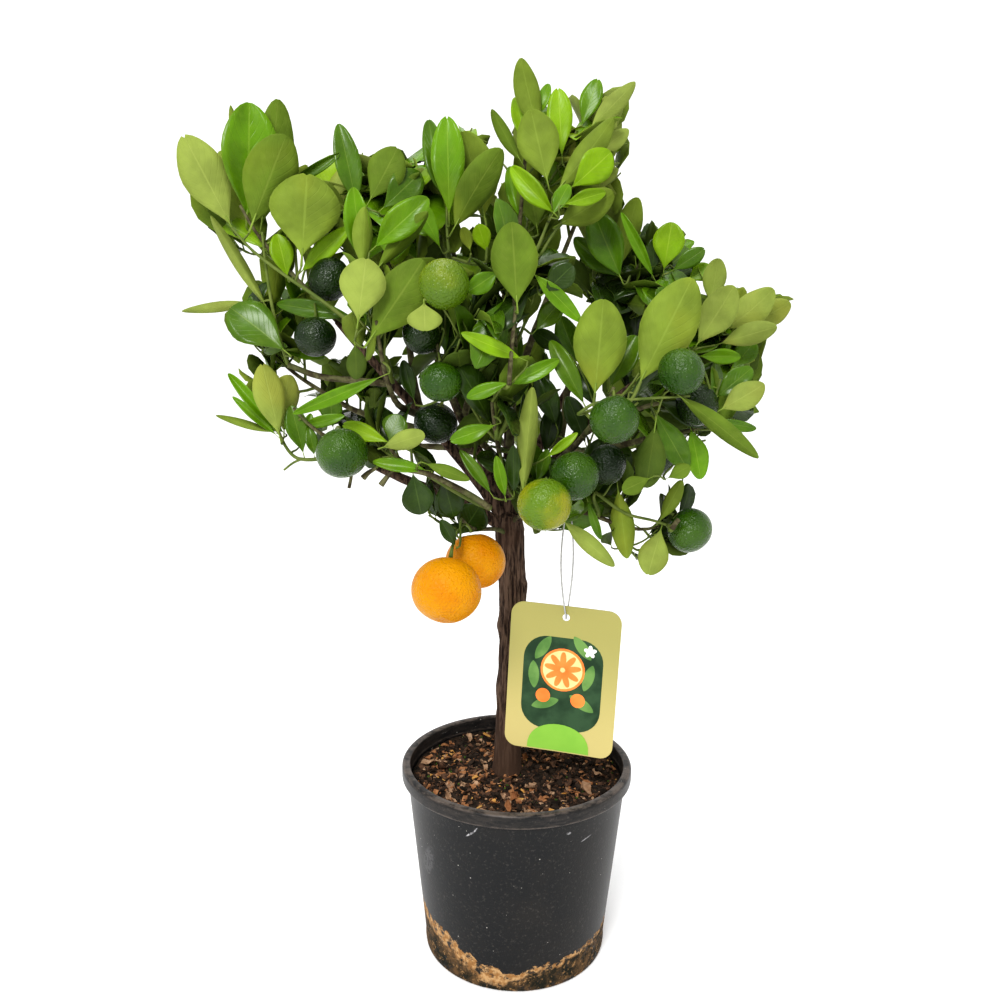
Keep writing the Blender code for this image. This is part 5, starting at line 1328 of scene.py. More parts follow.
@dataclass
class Growth:
    """What the crown has so far: fruit to keep clear of, and the middles of the leaves."""

    wood: Wood
    leaves: LeafStore
    balls: list[Ball]
    view: Viewpoint
    sight: Sight
    middles: list[Vector] = field(default_factory=list)
    count: int = 0

    def clear_of_fruit(self, points: Sequence[Vector], margin: float) -> bool:
        """Says whether points keep a margin from every fruit."""
        return all((point - ball.centre).length > ball.radius + margin for point in points for ball in self.balls)

    def clear_of_leaves(self, middle: Vector, distance: float) -> bool:
        """Says whether no other leaf has its middle near a point."""
        return all((middle - other).length > distance for other in self.middles)


class Mass:
    """One mass of foliage: its stem, shoots and finer twigs, and the leaves that stand on them."""

    stem_radius = (0.0019, 0.0011)
    shoot_radius = (0.0013, 0.0008)
    twig_radius = (0.0009, 0.0006)
    stem_rise = 0.60
    shoot_rise = 0.40
    leaf_rise = 0.38
    spray_angle = math.radians(44)
    leaf_step = 0.0084
    gap = 0.0003

    def __init__(self, branch: Branch, growth: Growth) -> None:
        """Lays out the mass's stem, its shoots and their twigs."""
        self.branch = branch
        self.growth = growth
        self.draw = random.Random(branch.seed)
        self.start, self.heading = self.find_start()
        self.tip = polar(branch.tip)
        self.low, self.high = [Vector(corner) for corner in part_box(f"foliage_{branch.name}")]
        arrive = ((self.tip - self.start).normalized() + UP * self.stem_rise).normalized()
        points = bezier(self.start, self.heading, self.tip, arrive, 9)
        self.stem = Path(points, taper(*self.stem_radius, 9))
        self.twigs: list[tuple[Path, int]] = [(self.stem, 0)]
        self.grow_shoots()

    def find_start(self) -> tuple[Vector, Vector]:
        """Gives the stem's foot, at the bough's tip or on the trunk, and its heading."""
        branch, paths = self.branch, self.growth.wood.paths
        if branch.bough:
            end, heading, _ = paths[branch.name].at(1.0)
            return end - heading * 0.002, heading
        foot, _, radius = paths["trunk"].at(branch.start * (len(paths["trunk"].points) - 2)
                                            / (len(paths["trunk"].points) - 1))
        heading = (polar(branch.tip) - foot).normalized()
        heading = (heading + UP * 0.25).normalized()
        return foot + heading * radius * 0.6, heading

    def side_path(self, parent: Path, share: float, turn: float, reach: float,
                  radii: tuple[float, float]) -> Optional[Path]:
        """Gives a curved side twig that keeps clear of the fruit, of the gaps and of its mass's bounds.

        Args:
            parent: The twig that carries it.
            share: Where on the parent it leaves.
            turn: Its turn round the parent.
            reach: Its length.
            radii: Its radius at the foot and at the tip.

        Returns:
            The twig's route, or None where every try meets a fruit.
        """
        root, heading, thick = parent.at(share)
        for trial in range(6):
            angle = self.spray_angle + self.draw.uniform(-0.15, 0.20)
            way = spread_way(heading, turn + trial * 0.55, angle)
            end = root + (way + UP * self.shoot_rise).normalized() * reach
            arrive = ((end - root).normalized() + UP * 0.5).normalized()
            points = bezier(root, way, end, arrive, 6)
            if self.growth.sight.blocked_by(points[2:]) or not self.within_reach(end):
                continue
            if self.growth.clear_of_fruit(points, 0.002):
                return Path(points, taper(min(radii[0], thick * 0.85), radii[1], 6))
        return None

    def grow_shoots(self) -> None:
        """Branches shoots off the stem, and finer twigs off the shoots, at the golden angle."""
        turn = self.draw.uniform(0, math.tau)
        length = (self.tip - self.start).length
        count = self.branch.shoots + 2
        for number in range(count):
            share = 0.18 + 0.70 * (number + 0.5) / count
            reach = length * self.draw.uniform(0.40, 0.56) + 0.008
            shoot = self.side_path(self.stem, share, turn, reach, self.shoot_radius)
            turn += GOLDEN_ANGLE
            if shoot is None:
                continue
            self.twigs.append((shoot, 1))
            for order in range(2):
                twig_turn = self.draw.uniform(0, math.tau)
                twig_reach = reach * self.draw.uniform(0.38, 0.55) + 0.004
                twig = self.side_path(shoot, 0.35 + 0.30 * order, twig_turn, twig_reach, self.twig_radius)
                if twig is not None:
                    self.twigs.append((twig, 2))

    def within_reach(self, point: Vector, margin: float = 0.002) -> bool:
        """Says whether a point lies in the box of the mass's own CAD node, give or take a margin."""
        return all(low - margin <= value <= high + margin
                   for low, value, high in zip(self.low, point, self.high))

    def join_to(self, joints: list[Joint], base: Vector, way: Vector, radius: float) -> None:
        """Grows a twiglet from the nearest joint to a point, and adds its own joints.

        Args:
            joints: The places that a twiglet can start from.
            base: Where it ends.
            way: The direction in which it ends.
            radius: Its radius at the end.
        """
        root, heading, thick = min(joints, key=lambda joint: (joint[0] - base).length)
        if (base - root).length < 0.0015:
            return
        straight = (base - root).normalized()
        points = bezier(root, (straight + heading * 0.3).normalized(), base, (straight + way * 0.7).normalized(), 6)
        route = Path(points, taper(min(radius * 1.4, max(thick, radius)), radius, 6))
        self.twigs.append((route, 3))
        joints += [route.at(step / 6) for step in range(2, 7)]

    def place_twigs(self, joints: list[Joint]) -> None:
        """Lays the twigs that the photograph shows plainly.

        Args:
            joints: The places that a twig can start from.
        """
        view = self.growth.view
        for seen in SEEN_TWIGS:
            if seen.mass != self.branch.name:
                continue
            spots = [view.point(pixel, self.tip.y - seen.ahead) for pixel in seen.pixels]
            self.join_to(joints, spots[0], (spots[1] - spots[0]).normalized(), seen.radii[0])
            points = []
            for index, (low, high) in enumerate(zip(spots, spots[1:])):
                before = spots[max(index - 1, 0)]
                after = spots[min(index + 2, len(spots) - 1)]
                points += bezier(low, (high - before).normalized(), high, (after - low).normalized(), 6)[:-1]
            points.append(spots[-1])
            route = Path(points, taper(*seen.radii, len(points)))
            self.twigs.append((route, 4 if seen.old else 3))
            joints += [route.at(step / 14) for step in range(15)]

    def place_seen(self, gathering: Gathering) -> None:
        """Sets the leaves that the photograph shows plainly, each on a twiglet of its own.

        Args:
            gathering: The piece that takes the leaves.
        """
        growth, store, view = self.growth, self.growth.leaves, self.growth.view
        joints = [route.at(step / 12) for route, _ in self.twigs for step in range(3, 13)]
        self.place_twigs(joints)
        placed = []
        for seen in SEEN_LEAVES:
            if seen.mass == self.branch.name:
                depth = self.tip.y - seen.ahead
                foot = view.point(seen.foot, depth)
                placed.append((seen, foot, view.point(seen.tip, depth + self.draw.uniform(-0.006, 0.006))))
        placed.sort(key=lambda row: (row[1] - self.start).length)
        for seen, foot, tip in placed:
            way = (tip - foot).normalized()
            size = (tip - foot).length
            line = foot - Vector(view.place)
            face = -line.normalized() * seen.side.value
            face = turned_about((face - way * face.dot(way)).normalized(), way, self.draw.uniform(-0.24, 0.24))
            share = seen.width * view.spread(1.0) * line.length / size
            kind = "broad" if share > 0.62 else "oval" if share > 0.34 else "narrow"
            pick = self.draw.randrange(len(store.fine[kind]))
            form, template = store.forms[kind][pick], store.fine[kind][pick]
            place = frame_of(foot, way, face, size) @ Matrix.Diagonal((share / form.width, 1.0, 1.0, 1.0))
            gathering.add(template, place, store.slots(seen.tone))
            self.join_to(joints, foot - way * size * form.stalk, way, 0.0007)
            growth.middles.append(foot.lerp(tip, 0.5))
            growth.count += 1

    def spray_tone(self, height: float, order: int) -> Tone:
        """Deals a tone to a spray: young and bright at the top and outside, dark within; the rise with height
        also paints the light on the crown's top, and the dark within paints shade.

        Args:
            height: The spray's height.
            order: How fine its twig is.

        Returns:
            The tone.
        """
        # Painted light and shade: the tone brightens with height and with the mass's share, and darkens low down.
        fresh_and_lit = self.branch.fresh_and_lit + (height - 0.49) * 1.5 - 0.08 * order
        value = fresh_and_lit + self.draw.uniform(-0.28, 0.28)
        if value > 0.92:
            return Tone.LIME
        if value > 0.58:
            return Tone.FRESH
        return Tone.MID if value > 0.28 else Tone.DARK

    def leaf_places(self) -> Iterator[tuple[Path, float, float, float, int, Tone]]:
        """Lists the leaves' places: the twig, the share, the turn, the depth from its tip, order and tone."""
        for route, order in self.twigs:
            if order >= 3:
                continue
            span = (0.50, 0.30, 0.35)[order]
            length = route.length() * (1.0 - span)
            count = max(4, round(length / self.leaf_step) + 2)
            turn = self.draw.uniform(0, math.tau)
            tone = self.spray_tone(route.points[-1].z, order)
            for number in range(count):
                depth = number / (count - 1)
                yield route, 0.99 - (0.99 - span) * depth, turn, depth, order, tone
                turn += GOLDEN_ANGLE + self.draw.uniform(-0.25, 0.25)

    def dress(self, gathering: Gathering) -> None:
        """Sets the leaves spirally on the twigs, and leaves out one that would meet something.

        Args:
            gathering: The piece that takes the leaves.
        """
        growth, store = self.growth, self.growth.leaves
        for route, share, turn, depth, order, tone in self.leaf_places():
            root, heading, radius = route.at(share)
            size = self.branch.leaf * (1.06, 0.98, 0.86)[order] * self.draw.uniform(0.72, 1.08)
            size *= 0.78 + 0.30 * math.sin(math.pi * (0.25 + 0.65 * depth))
            roll = self.draw.uniform(-0.45, 0.45)
            kind = self.draw.choices(("oval", "broad", "narrow", "folded"), (0.70, 0.12, 0.13, 0.05))[0]
            template = self.draw.choice(store.templates[kind])
            older = self.draw.random() < 0.25 * depth
            for extra in (0.0, 0.35, -0.3, 0.7, -0.7, 1.2, 2.0):
                lean = 0.42 + 0.62 * depth + extra
                out = spread_way(heading, turn + extra, math.pi / 2)
                way = heading * math.cos(lean) + out * math.sin(lean)
                way = (way + UP * self.leaf_rise).normalized()
                middle, tip = root + way * size * 0.62, root + way * size * 1.12
                quarter = root + way * size * 0.35
                if not self.within_reach(tip):
                    continue
                if not growth.clear_of_fruit((middle, tip, quarter), 0.0015):
                    continue
                if not growth.clear_of_leaves(middle, 0.0085):
                    continue
                face = turned_about(heading - way * heading.dot(way), way, roll)
                aside = way.cross(face).normalized() * size * 0.20
                if growth.sight.blocked_by((quarter, middle, tip, middle + aside, middle - aside)):
                    continue
                foot = root + way * (radius * 0.4 + size * 0.13)
                used = Tone(min(tone.value + 1, Tone.DARK.value)) if older else tone
                gathering.add(template, frame_of(foot, way, face, size), store.slots(used))
                growth.middles.append(middle)
                growth.count += 1
                break


class Crown:
    """All masses: their twigs, their leaves joined by main limb, and their fruit."""

    def __init__(self, wood: Wood, view: Viewpoint) -> None:
        """Grows the twigs of every mass."""
        self.wood = wood
        balls = [Ball(polar(fruit.place), fruit.diameter / 2) for fruit in FRUITS]
        sight = Sight(view)
        for ball in balls:
            if ball.centre.y < 0.0:
                sight.protect(ball.centre, ball.radius + 0.0045)
        for share in (0.84, 0.88, 0.92, 0.96, 1.0):
            sight.protect(wood.paths["trunk"].at(share)[0], 0.012, 0.030)
        for share in (0.1, 0.2, 0.3, 0.4):
            sight.protect(wood.paths["left_low"].at(share)[0], 0.0060)
        self.protect_seen(view, sight)
        self.growth = Growth(wood, LeafStore(), balls, view, sight)
        self.masses = [Mass(branch, self.growth) for branch in BRANCHES]

    def protect_seen(self, view: Viewpoint, sight: Sight) -> None:
        """Keeps the lines of sight clear to every leaf and twig that the photograph shows plainly."""
        depths = {branch.name: polar(branch.tip).y for branch in BRANCHES}
        for leaf in SEEN_LEAVES:
            depth = depths[leaf.mass] - leaf.ahead
            foot, tip = view.point(leaf.foot, depth), view.point(leaf.tip, depth)
            half = view.spread(leaf.width / 2) * (foot - Vector(view.place)).length
            for along in (0.12, 0.28, 0.45, 0.62, 0.78, 0.94):
                sight.protect(foot.lerp(tip, along), half * 0.85 + 0.0025, 0.006)
        for twig in SEEN_TWIGS:
            for low, high in zip(twig.pixels, twig.pixels[1:]):
                for share in (0.0, 0.5):
                    pixel = (low[0] + (high[0] - low[0]) * share, low[1] + (high[1] - low[1]) * share)
                    sight.protect(view.point(pixel, depths[twig.mass] - twig.ahead), 0.0035)

    def limb_of(self, branch: Branch) -> str:
        """Gives the name of the main limb that a mass belongs to."""
        by_name = {other.name: other for other in BRANCHES}
        while branch.parent != "trunk":
            branch = by_name[branch.parent]
        return branch.name

    def make_leaves(self) -> list[bpy.types.Object]:
        """Makes one piece of leaves for each main limb.

        Returns:
            The pieces.
        """
        groups: dict[str, Gathering] = {}
        nodes: dict[str, list[str]] = {}
        for mass in self.masses:
            limb = self.limb_of(mass.branch)
            if limb not in groups:
                groups[limb] = Gathering(f"leaves_{limb}", self.growth.leaves.materials)
                nodes[limb] = []
            mass.place_seen(groups[limb])
            nodes[limb].append(f"foliage_{mass.branch.name}")
        LOG.info("seen leaves: %d", self.growth.count)
        for mass in self.masses:
            mass.dress(groups[self.limb_of(mass.branch)])
        pieces = []
        for limb, gathering in groups.items():
            LOG.info("%s: %d triangles", gathering.name, gathering.triangles())
            piece = gathering.build()
            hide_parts(*nodes[limb])
            pieces.append(piece)
        LOG.info("leaves: %d", self.growth.count)
        return pieces

    def make_twigs(self, bark: bpy.types.Material, green: bpy.types.Material) -> bpy.types.Object:
        """Makes the stems, shoots, twigs and fruit stalks as one piece.

        Args:
            bark: The material of the stems.
            green: The material of what is young.

        Returns:
            The piece.
        """
        gathering = Gathering("twigs", [bark, green])
        for mass in self.masses:
            for route, order in mass.twigs:
                shape = sweep(route, (8, 6, 5, 6, 8)[order])
                gathering.add(Template.of(shape), slots=[0 if order in (0, 4) else 1])
            for fruit in FRUITS:
                if fruit.mass == mass.branch.name:
                    gathering.add(Template.of(sweep(self.stalk_path(fruit, mass), 6)), slots=[1])
        LOG.info("twigs: %d triangles", gathering.triangles())
        return gathering.build()

    def stalk_path(self, fruit: FruitPlace, mass: Mass) -> Path:
        """Gives a fruit's stalk, from the stem to just inside the fruit's crown."""
        centre, radius = polar(fruit.place), fruit.diameter / 2
        others = [ball for ball in self.growth.balls if (ball.centre - centre).length > 0.001]
        nearest = mass.stem.nearest_share(centre + UP * radius)
        for offset in (0.0, 0.15, -0.15, 0.3, -0.3, 0.45, -0.45, 0.0):
            root, heading, _ = mass.stem.at(min(max(nearest + offset, 0.1), 0.95))
            rise = ((root - centre).normalized() + UP * 0.9).normalized()
            crown = centre + rise * radius * 0.97
            away = ((crown - root).normalized() + heading * 0.5).normalized()
            points = bezier(root, away, crown, -rise, 9)
            if all((p - ball.centre).length > ball.radius + 0.0015 for p in points for ball in others):
                break
        return Path(points, [0.0009] * 7 + [0.0011, 0.0016])


@dataclass
class FruitMaker:
    """The fruit: flattened balls with a dimple at each end and a small green calyx."""

    flatness: float = 0.93
    segments: int = 32
    rings: int = 22
    seed: int = 9

    def make(self, crown: Crown, peels: dict[str, bpy.types.Material],
             calyx: bpy.types.Material) -> list[bpy.types.Object]:
        """Makes one piece of green fruit and one of ripe fruit.

        Args:
            crown: The crown that carries them.
            peels: The peel of each ripeness.
            calyx: The material of the calyx.

        Returns:
            The pieces.
        """
        draw = random.Random(self.seed)
        names = list(peels)
        materials = list(peels.values()) + [calyx]
        green = Gathering("fruit_green", materials)
        ripe = Gathering("fruit_ripe", materials)
        masses = {mass.branch.name: mass for mass in crown.masses}
        for fruit in FRUITS:
            path = crown.stalk_path(fruit, masses[fruit.mass])
            centre = polar(fruit.place)
            axis = (path.points[-1] - centre).normalized()
            side = turned_about(axis.orthogonal().normalized(), axis, draw.uniform(0, math.tau))
            place = frame_of(centre, side, axis, fruit.diameter / 2)
            slot = names.index(fruit.ripeness)
            target = ripe if fruit.ripeness == "ripe" else green
            target.add(self.template(draw), place, [slot, len(names)])
        return [green.build(), ripe.build()]

    def template(self, draw: random.Random) -> Template:
        """Makes one fruit of radius 1 with its stalk end up.

        Args:
            draw: The source of its small unevenness.

        Returns:
            The template, whose slots are peel and calyx.
        """
        shape = bmesh.new()
        bmesh.ops.create_uvsphere(shape, u_segments=self.segments, v_segments=self.rings, radius=1.0)
        shift = Vector((draw.uniform(0, 50), draw.uniform(0, 50), 0.0))
        for vertex in shape.verts:
            spot = vertex.co.copy()
            off_axis = math.hypot(spot.x, spot.y)
            dimple = 0.10 * math.exp(-(off_axis / 0.20) ** 2)
            lump = 1.0 + 0.022 * noise.noise(spot * 1.3 + shift)
            vertex.co = spot * lump
            vertex.co.z = spot.z * self.flatness * lump - math.copysign(dimple, spot.z) * (1.0 if spot.z > 0 else 0.5)
        shade_smooth(shape)
        made = bmesh.ops.create_circle(shape, cap_ends=True, segments=10, radius=0.17)["verts"]
        for index, vertex in enumerate(made):
            if index % 2:
                vertex.co *= 0.55
        top = self.flatness - 0.085
        bmesh.ops.translate(shape, vec=(0.0, 0.0, top), verts=made)
        cap = [face for face in made[0].link_faces if len(face.verts) == 10]
        solid = bmesh.ops.extrude_face_region(shape, geom=cap)["geom"]
        lifted = [bit for bit in solid if isinstance(bit, bmesh.types.BMVert)]
        bmesh.ops.translate(shape, vec=(0.0, 0.0, 0.05), verts=lifted)
        for face in {face for vertex in made + lifted for face in vertex.link_faces}:
            face.material_index = 1
        return Template.of(shape)


# Pot, potting mix and card


def arc(centre: tuple[float, float], radius: float, first: float, last: float, count: int) -> list[tuple[float, float]]:
    """Gives points of an arc in the plane of a profile, from one angle in degrees to another."""
    angles = [math.radians(first + (last - first) * step / (count - 1)) for step in range(count)]
    return [(centre[0] + radius * math.cos(angle), centre[1] + radius * math.sin(angle)) for angle in angles]


def turned(profile: Sequence[tuple[float, float]], steps: int) -> bmesh.types.BMesh:
    """Spins a profile of radii and heights, which starts and ends on the axis, into a closed body.

    Args:
        profile: The radius and height of each point.
        steps: How many steps the turn has.

    Returns:
        The bmesh with its normals outwards.
    """
    shape = bmesh.new()
    corners = [shape.verts.new((radius, 0.0, height)) for radius, height in profile]
    edges = [shape.edges.new(pair) for pair in zip(corners, corners[1:])]
    bmesh.ops.spin(shape, geom=corners + edges, cent=(0, 0, 0), axis=(0, 0, 1), dvec=(0, 0, 0),
                   angle=math.tau, steps=steps, use_merge=True, use_duplicate=False)
    bmesh.ops.remove_doubles(shape, verts=shape.verts, dist=MERGE)
    bmesh.ops.recalc_face_normals(shape, faces=shape.faces)
    shade_smooth(shape)
    return shape


@dataclass
class Pot:
    """The nursery pot: a tapered wall with a rolled lip, a shallow step below it and a foot ring."""

    rim: float = 0.095
    height: float = 0.160
    base: float = 0.075
    shoulder: float = 0.0901
    lip_height: float = 0.0112
    wall: float = 0.0018
    floor: float = 0.0025
    steps: int = 128

    def make(self, plastic: bpy.types.Material) -> bpy.types.Object:
        """Makes the pot.

        Args:
            plastic: Its material.

        Returns:
            The piece.
        """
        inner_top, inner_base = self.shoulder - self.wall, self.base - self.wall
        lip_base = self.height - self.lip_height
        roll, edge = 0.0030, 0.0013
        profile = [(0.0, self.floor), (inner_base - 0.002, self.floor), (inner_base, self.floor + 0.002)]
        profile += [(inner_top - 0.0006, self.height - 0.0100)]
        profile += arc((inner_top + 0.0016, self.height - 0.0018), 0.0018, 180, 90, 5)
        profile += arc((self.rim - roll, self.height - roll), roll, 90, 0, 7)
        profile += arc((self.rim - edge, lip_base + edge), edge, 0, -90, 5)
        profile += arc((self.shoulder + 0.0009, lip_base - 0.0009), 0.0009, 90, 180, 4)
        for step in range(1, 9):
            share = step / 9
            width = self.shoulder + (self.base + 0.0006 - self.shoulder) * share
            profile.append((width, lip_base - 0.002 - (lip_base - 0.012) * share))
        profile += [(self.base + 0.0006, 0.0085), (self.base + 0.0010, 0.0060)]
        profile += arc((self.base - 0.0018, 0.0024), 0.0024, 0, -90, 5)
        profile += [(self.base - 0.010, 0.0), (self.base - 0.0115, 0.0010), (0.0, 0.0010)]
        piece = object_from("pot_shell", turned(profile, self.steps), [plastic])
        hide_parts("pot")
        return piece


@dataclass
class PottingMix:
    """The potting mix: a lumpy plug with crumbs, bark chips, dry leaf flakes and specks of moss on it."""

    level: float = 0.1475
    radius: float = 0.0868
    floor: float = 0.0030
    floor_radius: float = 0.0725
    crumbs: int = 3000
    chips: int = 1250
    flakes: int = 72
    large: tuple[Place, ...] = ((0.016, -0.067, 0.024), (0.036, -0.060, 0.021), (0.060, -0.040, 0.017),
                                (-0.066, 0.012, 0.016), (-0.046, -0.054, 0.015))
    seed: int = 4

    def height_at(self, x: float, y: float) -> float:
        """Gives the surface's height at a point: clods, hollows and a rise towards the trunk."""
        lump = noise.noise(Vector((x * 55.0, y * 55.0, 3.0))) * 0.0024
        fine = noise.noise(Vector((x * 190.0, y * 190.0, 9.0))) * 0.0016
        mound = 0.0020 * math.exp(-((x + 0.008) ** 2 + y * y) / 0.0011)
        return self.level + lump + fine + mound

    def make_ground(self, soil: bpy.types.Material) -> bpy.types.Object:
        """Makes the plug with its lumpy top.

        Args:
            soil: Its material.

        Returns:
            The piece.
        """
        rings = 44
        profile = [(self.radius * step / rings, self.level) for step in range(rings + 1)]
        profile += [(self.radius - 0.001, self.level - 0.006), (self.floor_radius, self.floor), (0.0, self.floor)]
        shape = turned(profile, 110)
        for vertex in shape.verts:
            if vertex.co.z > self.level - 0.001:
                vertex.co.z = self.height_at(vertex.co.x, vertex.co.y)
        piece = object_from("mix_ground", shape, [soil])
        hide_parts("potting_mix")
        return piece

    def grain(self, draw: random.Random, sizes: Place, detail: int) -> Template:
        """Makes one rough grain.

        Args:
            draw: The source of its shape.
            sizes: Its size along each axis, about 1.
            detail: How finely the ball that it starts from is divided.

        Returns:
            The template.
        """
        shape = bmesh.new()
        bmesh.ops.create_icosphere(shape, subdivisions=detail, radius=0.5)
        shift = Vector((draw.uniform(0, 90), draw.uniform(0, 90), draw.uniform(0, 90)))
        for vertex in shape.verts:
            vertex.co *= 1.0 + 0.45 * noise.noise(vertex.co * 2.2 + shift)
        bmesh.ops.scale(shape, vec=sizes, verts=shape.verts)
        return Template.of(shape)

    def chip(self, draw: random.Random) -> Template:
        """Makes one splintered bark chip."""
        shape = bmesh.new()
        bmesh.ops.create_cube(shape, size=1.0)
        bmesh.ops.subdivide_edges(shape, edges=shape.edges, cuts=1, use_grid_fill=True)
        shift = Vector((draw.uniform(0, 90), draw.uniform(0, 90), draw.uniform(0, 90)))
        for vertex in shape.verts:
            push = noise.noise_vector(vertex.co * 1.7 + shift)
            vertex.co += push * 0.32
        bmesh.ops.scale(shape, vec=(1.0, draw.uniform(0.35, 0.7), draw.uniform(0.14, 0.30)), verts=shape.verts)
        return Template.of(shape)

    def flake(self, draw: random.Random) -> Template:
        """Makes one curled flake of dry leaf."""
        form = LeafForm(draw.uniform(0.4, 0.7), 0.5, draw.uniform(0.1, 0.6), draw.uniform(-2.4, 2.4), 0.5,
                        stalk=0.02, thickness=0.02, rows=(0.0, 0.1, 0.22, 0.36, 0.5, 0.64, 0.78, 0.9, 0.97, 1.0),
                        columns=4)
        return form.make()

    def scatter(self, draw: random.Random, reach: float) -> tuple[float, float]:
        """Gives a random point of the surface, clear of the trunk."""
        while True:
            radius = reach * math.sqrt(draw.random())
            angle = draw.uniform(0, math.tau)
            x, y = radius * math.cos(angle), radius * math.sin(angle)
            if math.hypot(x + 0.008, y) > 0.0125:
                return x, y

    def is_brown(self, spot: Vector, draw: random.Random) -> bool:
        """Says whether a chip lies in a patch of brown bark, which lie mostly left and in front."""
        patch = noise.noise(Vector((spot.x * 38.0, spot.y * 38.0, 21.0)))
        return patch - spot.x * 8.0 - spot.y * 4.0 + draw.uniform(-0.25, 0.25) > 0.10

    def place(self, draw: random.Random, reach: float, size: float, sink: float, tilt: float) -> Matrix:
        """Gives a random place on the surface for a grain of a size."""
        x, y = self.scatter(draw, reach)
        spot = Vector((x, y, self.height_at(x, y) + size * sink))
        spin = Matrix.Rotation(draw.uniform(0, math.tau), 4, "Z")
        lean = Matrix.Rotation(draw.uniform(-tilt, tilt), 4, "X") @ Matrix.Rotation(draw.uniform(-tilt, tilt), 4, "Y")
        return Matrix.Translation(spot) @ spin @ lean @ Matrix.Scale(size, 4)

    def make_litter(self, materials: Sequence[bpy.types.Material]) -> list[bpy.types.Object]:
        """Makes the crumbs, the chips and the flakes.

        Args:
            materials: Black, brown, rust, tan, yellow and moss, in that order.

        Returns:
            The pieces.
        """
        draw = random.Random(self.seed)
        grains = [self.grain(draw, (1.0, draw.uniform(0.6, 1.0), draw.uniform(0.5, 0.9)), 1) for _ in range(8)]
        crumbs = Gathering("mix_crumbs", materials)
        for _ in range(self.crumbs):
            size = draw.uniform(0.0010, 0.0034)
            tone = draw.choices(range(6), (0.58, 0.29, 0.05, 0.03, 0.01, 0.04))[0]
            crumbs.add(draw.choice(grains), self.place(draw, self.radius - 0.002, size, 0.15, 1.5), [tone])
        pieces = [self.chip(draw) for _ in range(9)]
        chips = Gathering("mix_bark_chips", materials)
        for _ in range(self.chips):
            size = draw.uniform(0.0022, 0.0062)
            place = self.place(draw, self.radius - 0.004, size, 0.16, 0.8)
            if self.is_brown(place.translation, draw):
                tone = draw.choices(range(5), (0.16, 0.38, 0.29, 0.14, 0.03))[0]
            else:
                tone = draw.choices(range(5), (0.62, 0.30, 0.05, 0.03, 0.00))[0]
            chips.add(draw.choice(pieces), place, [tone])
        leaves = [self.flake(draw) for _ in range(7)]
        flakes = Gathering("mix_dry_leaves", materials)
        for x, y, size in self.large:
            spot = Vector((x, y, self.height_at(x, y) + 0.0022))
            turn = Matrix.Rotation(draw.uniform(0, math.tau), 4, "Z")
            flakes.add(draw.choice(leaves), Matrix.Translation(spot) @ turn @ Matrix.Scale(size, 4), [3] * 3)
        for _ in range(self.flakes):
            size = draw.uniform(0.006, 0.014)
            tone = draw.choices((1, 2, 3), (0.3, 0.35, 0.35))[0]
            place = self.place(draw, self.radius - 0.013, size, 0.14, 0.6)
            flakes.add(draw.choice(leaves), place, [tone] * 3)
        return [crumbs.build(), chips.build(), flakes.build()]


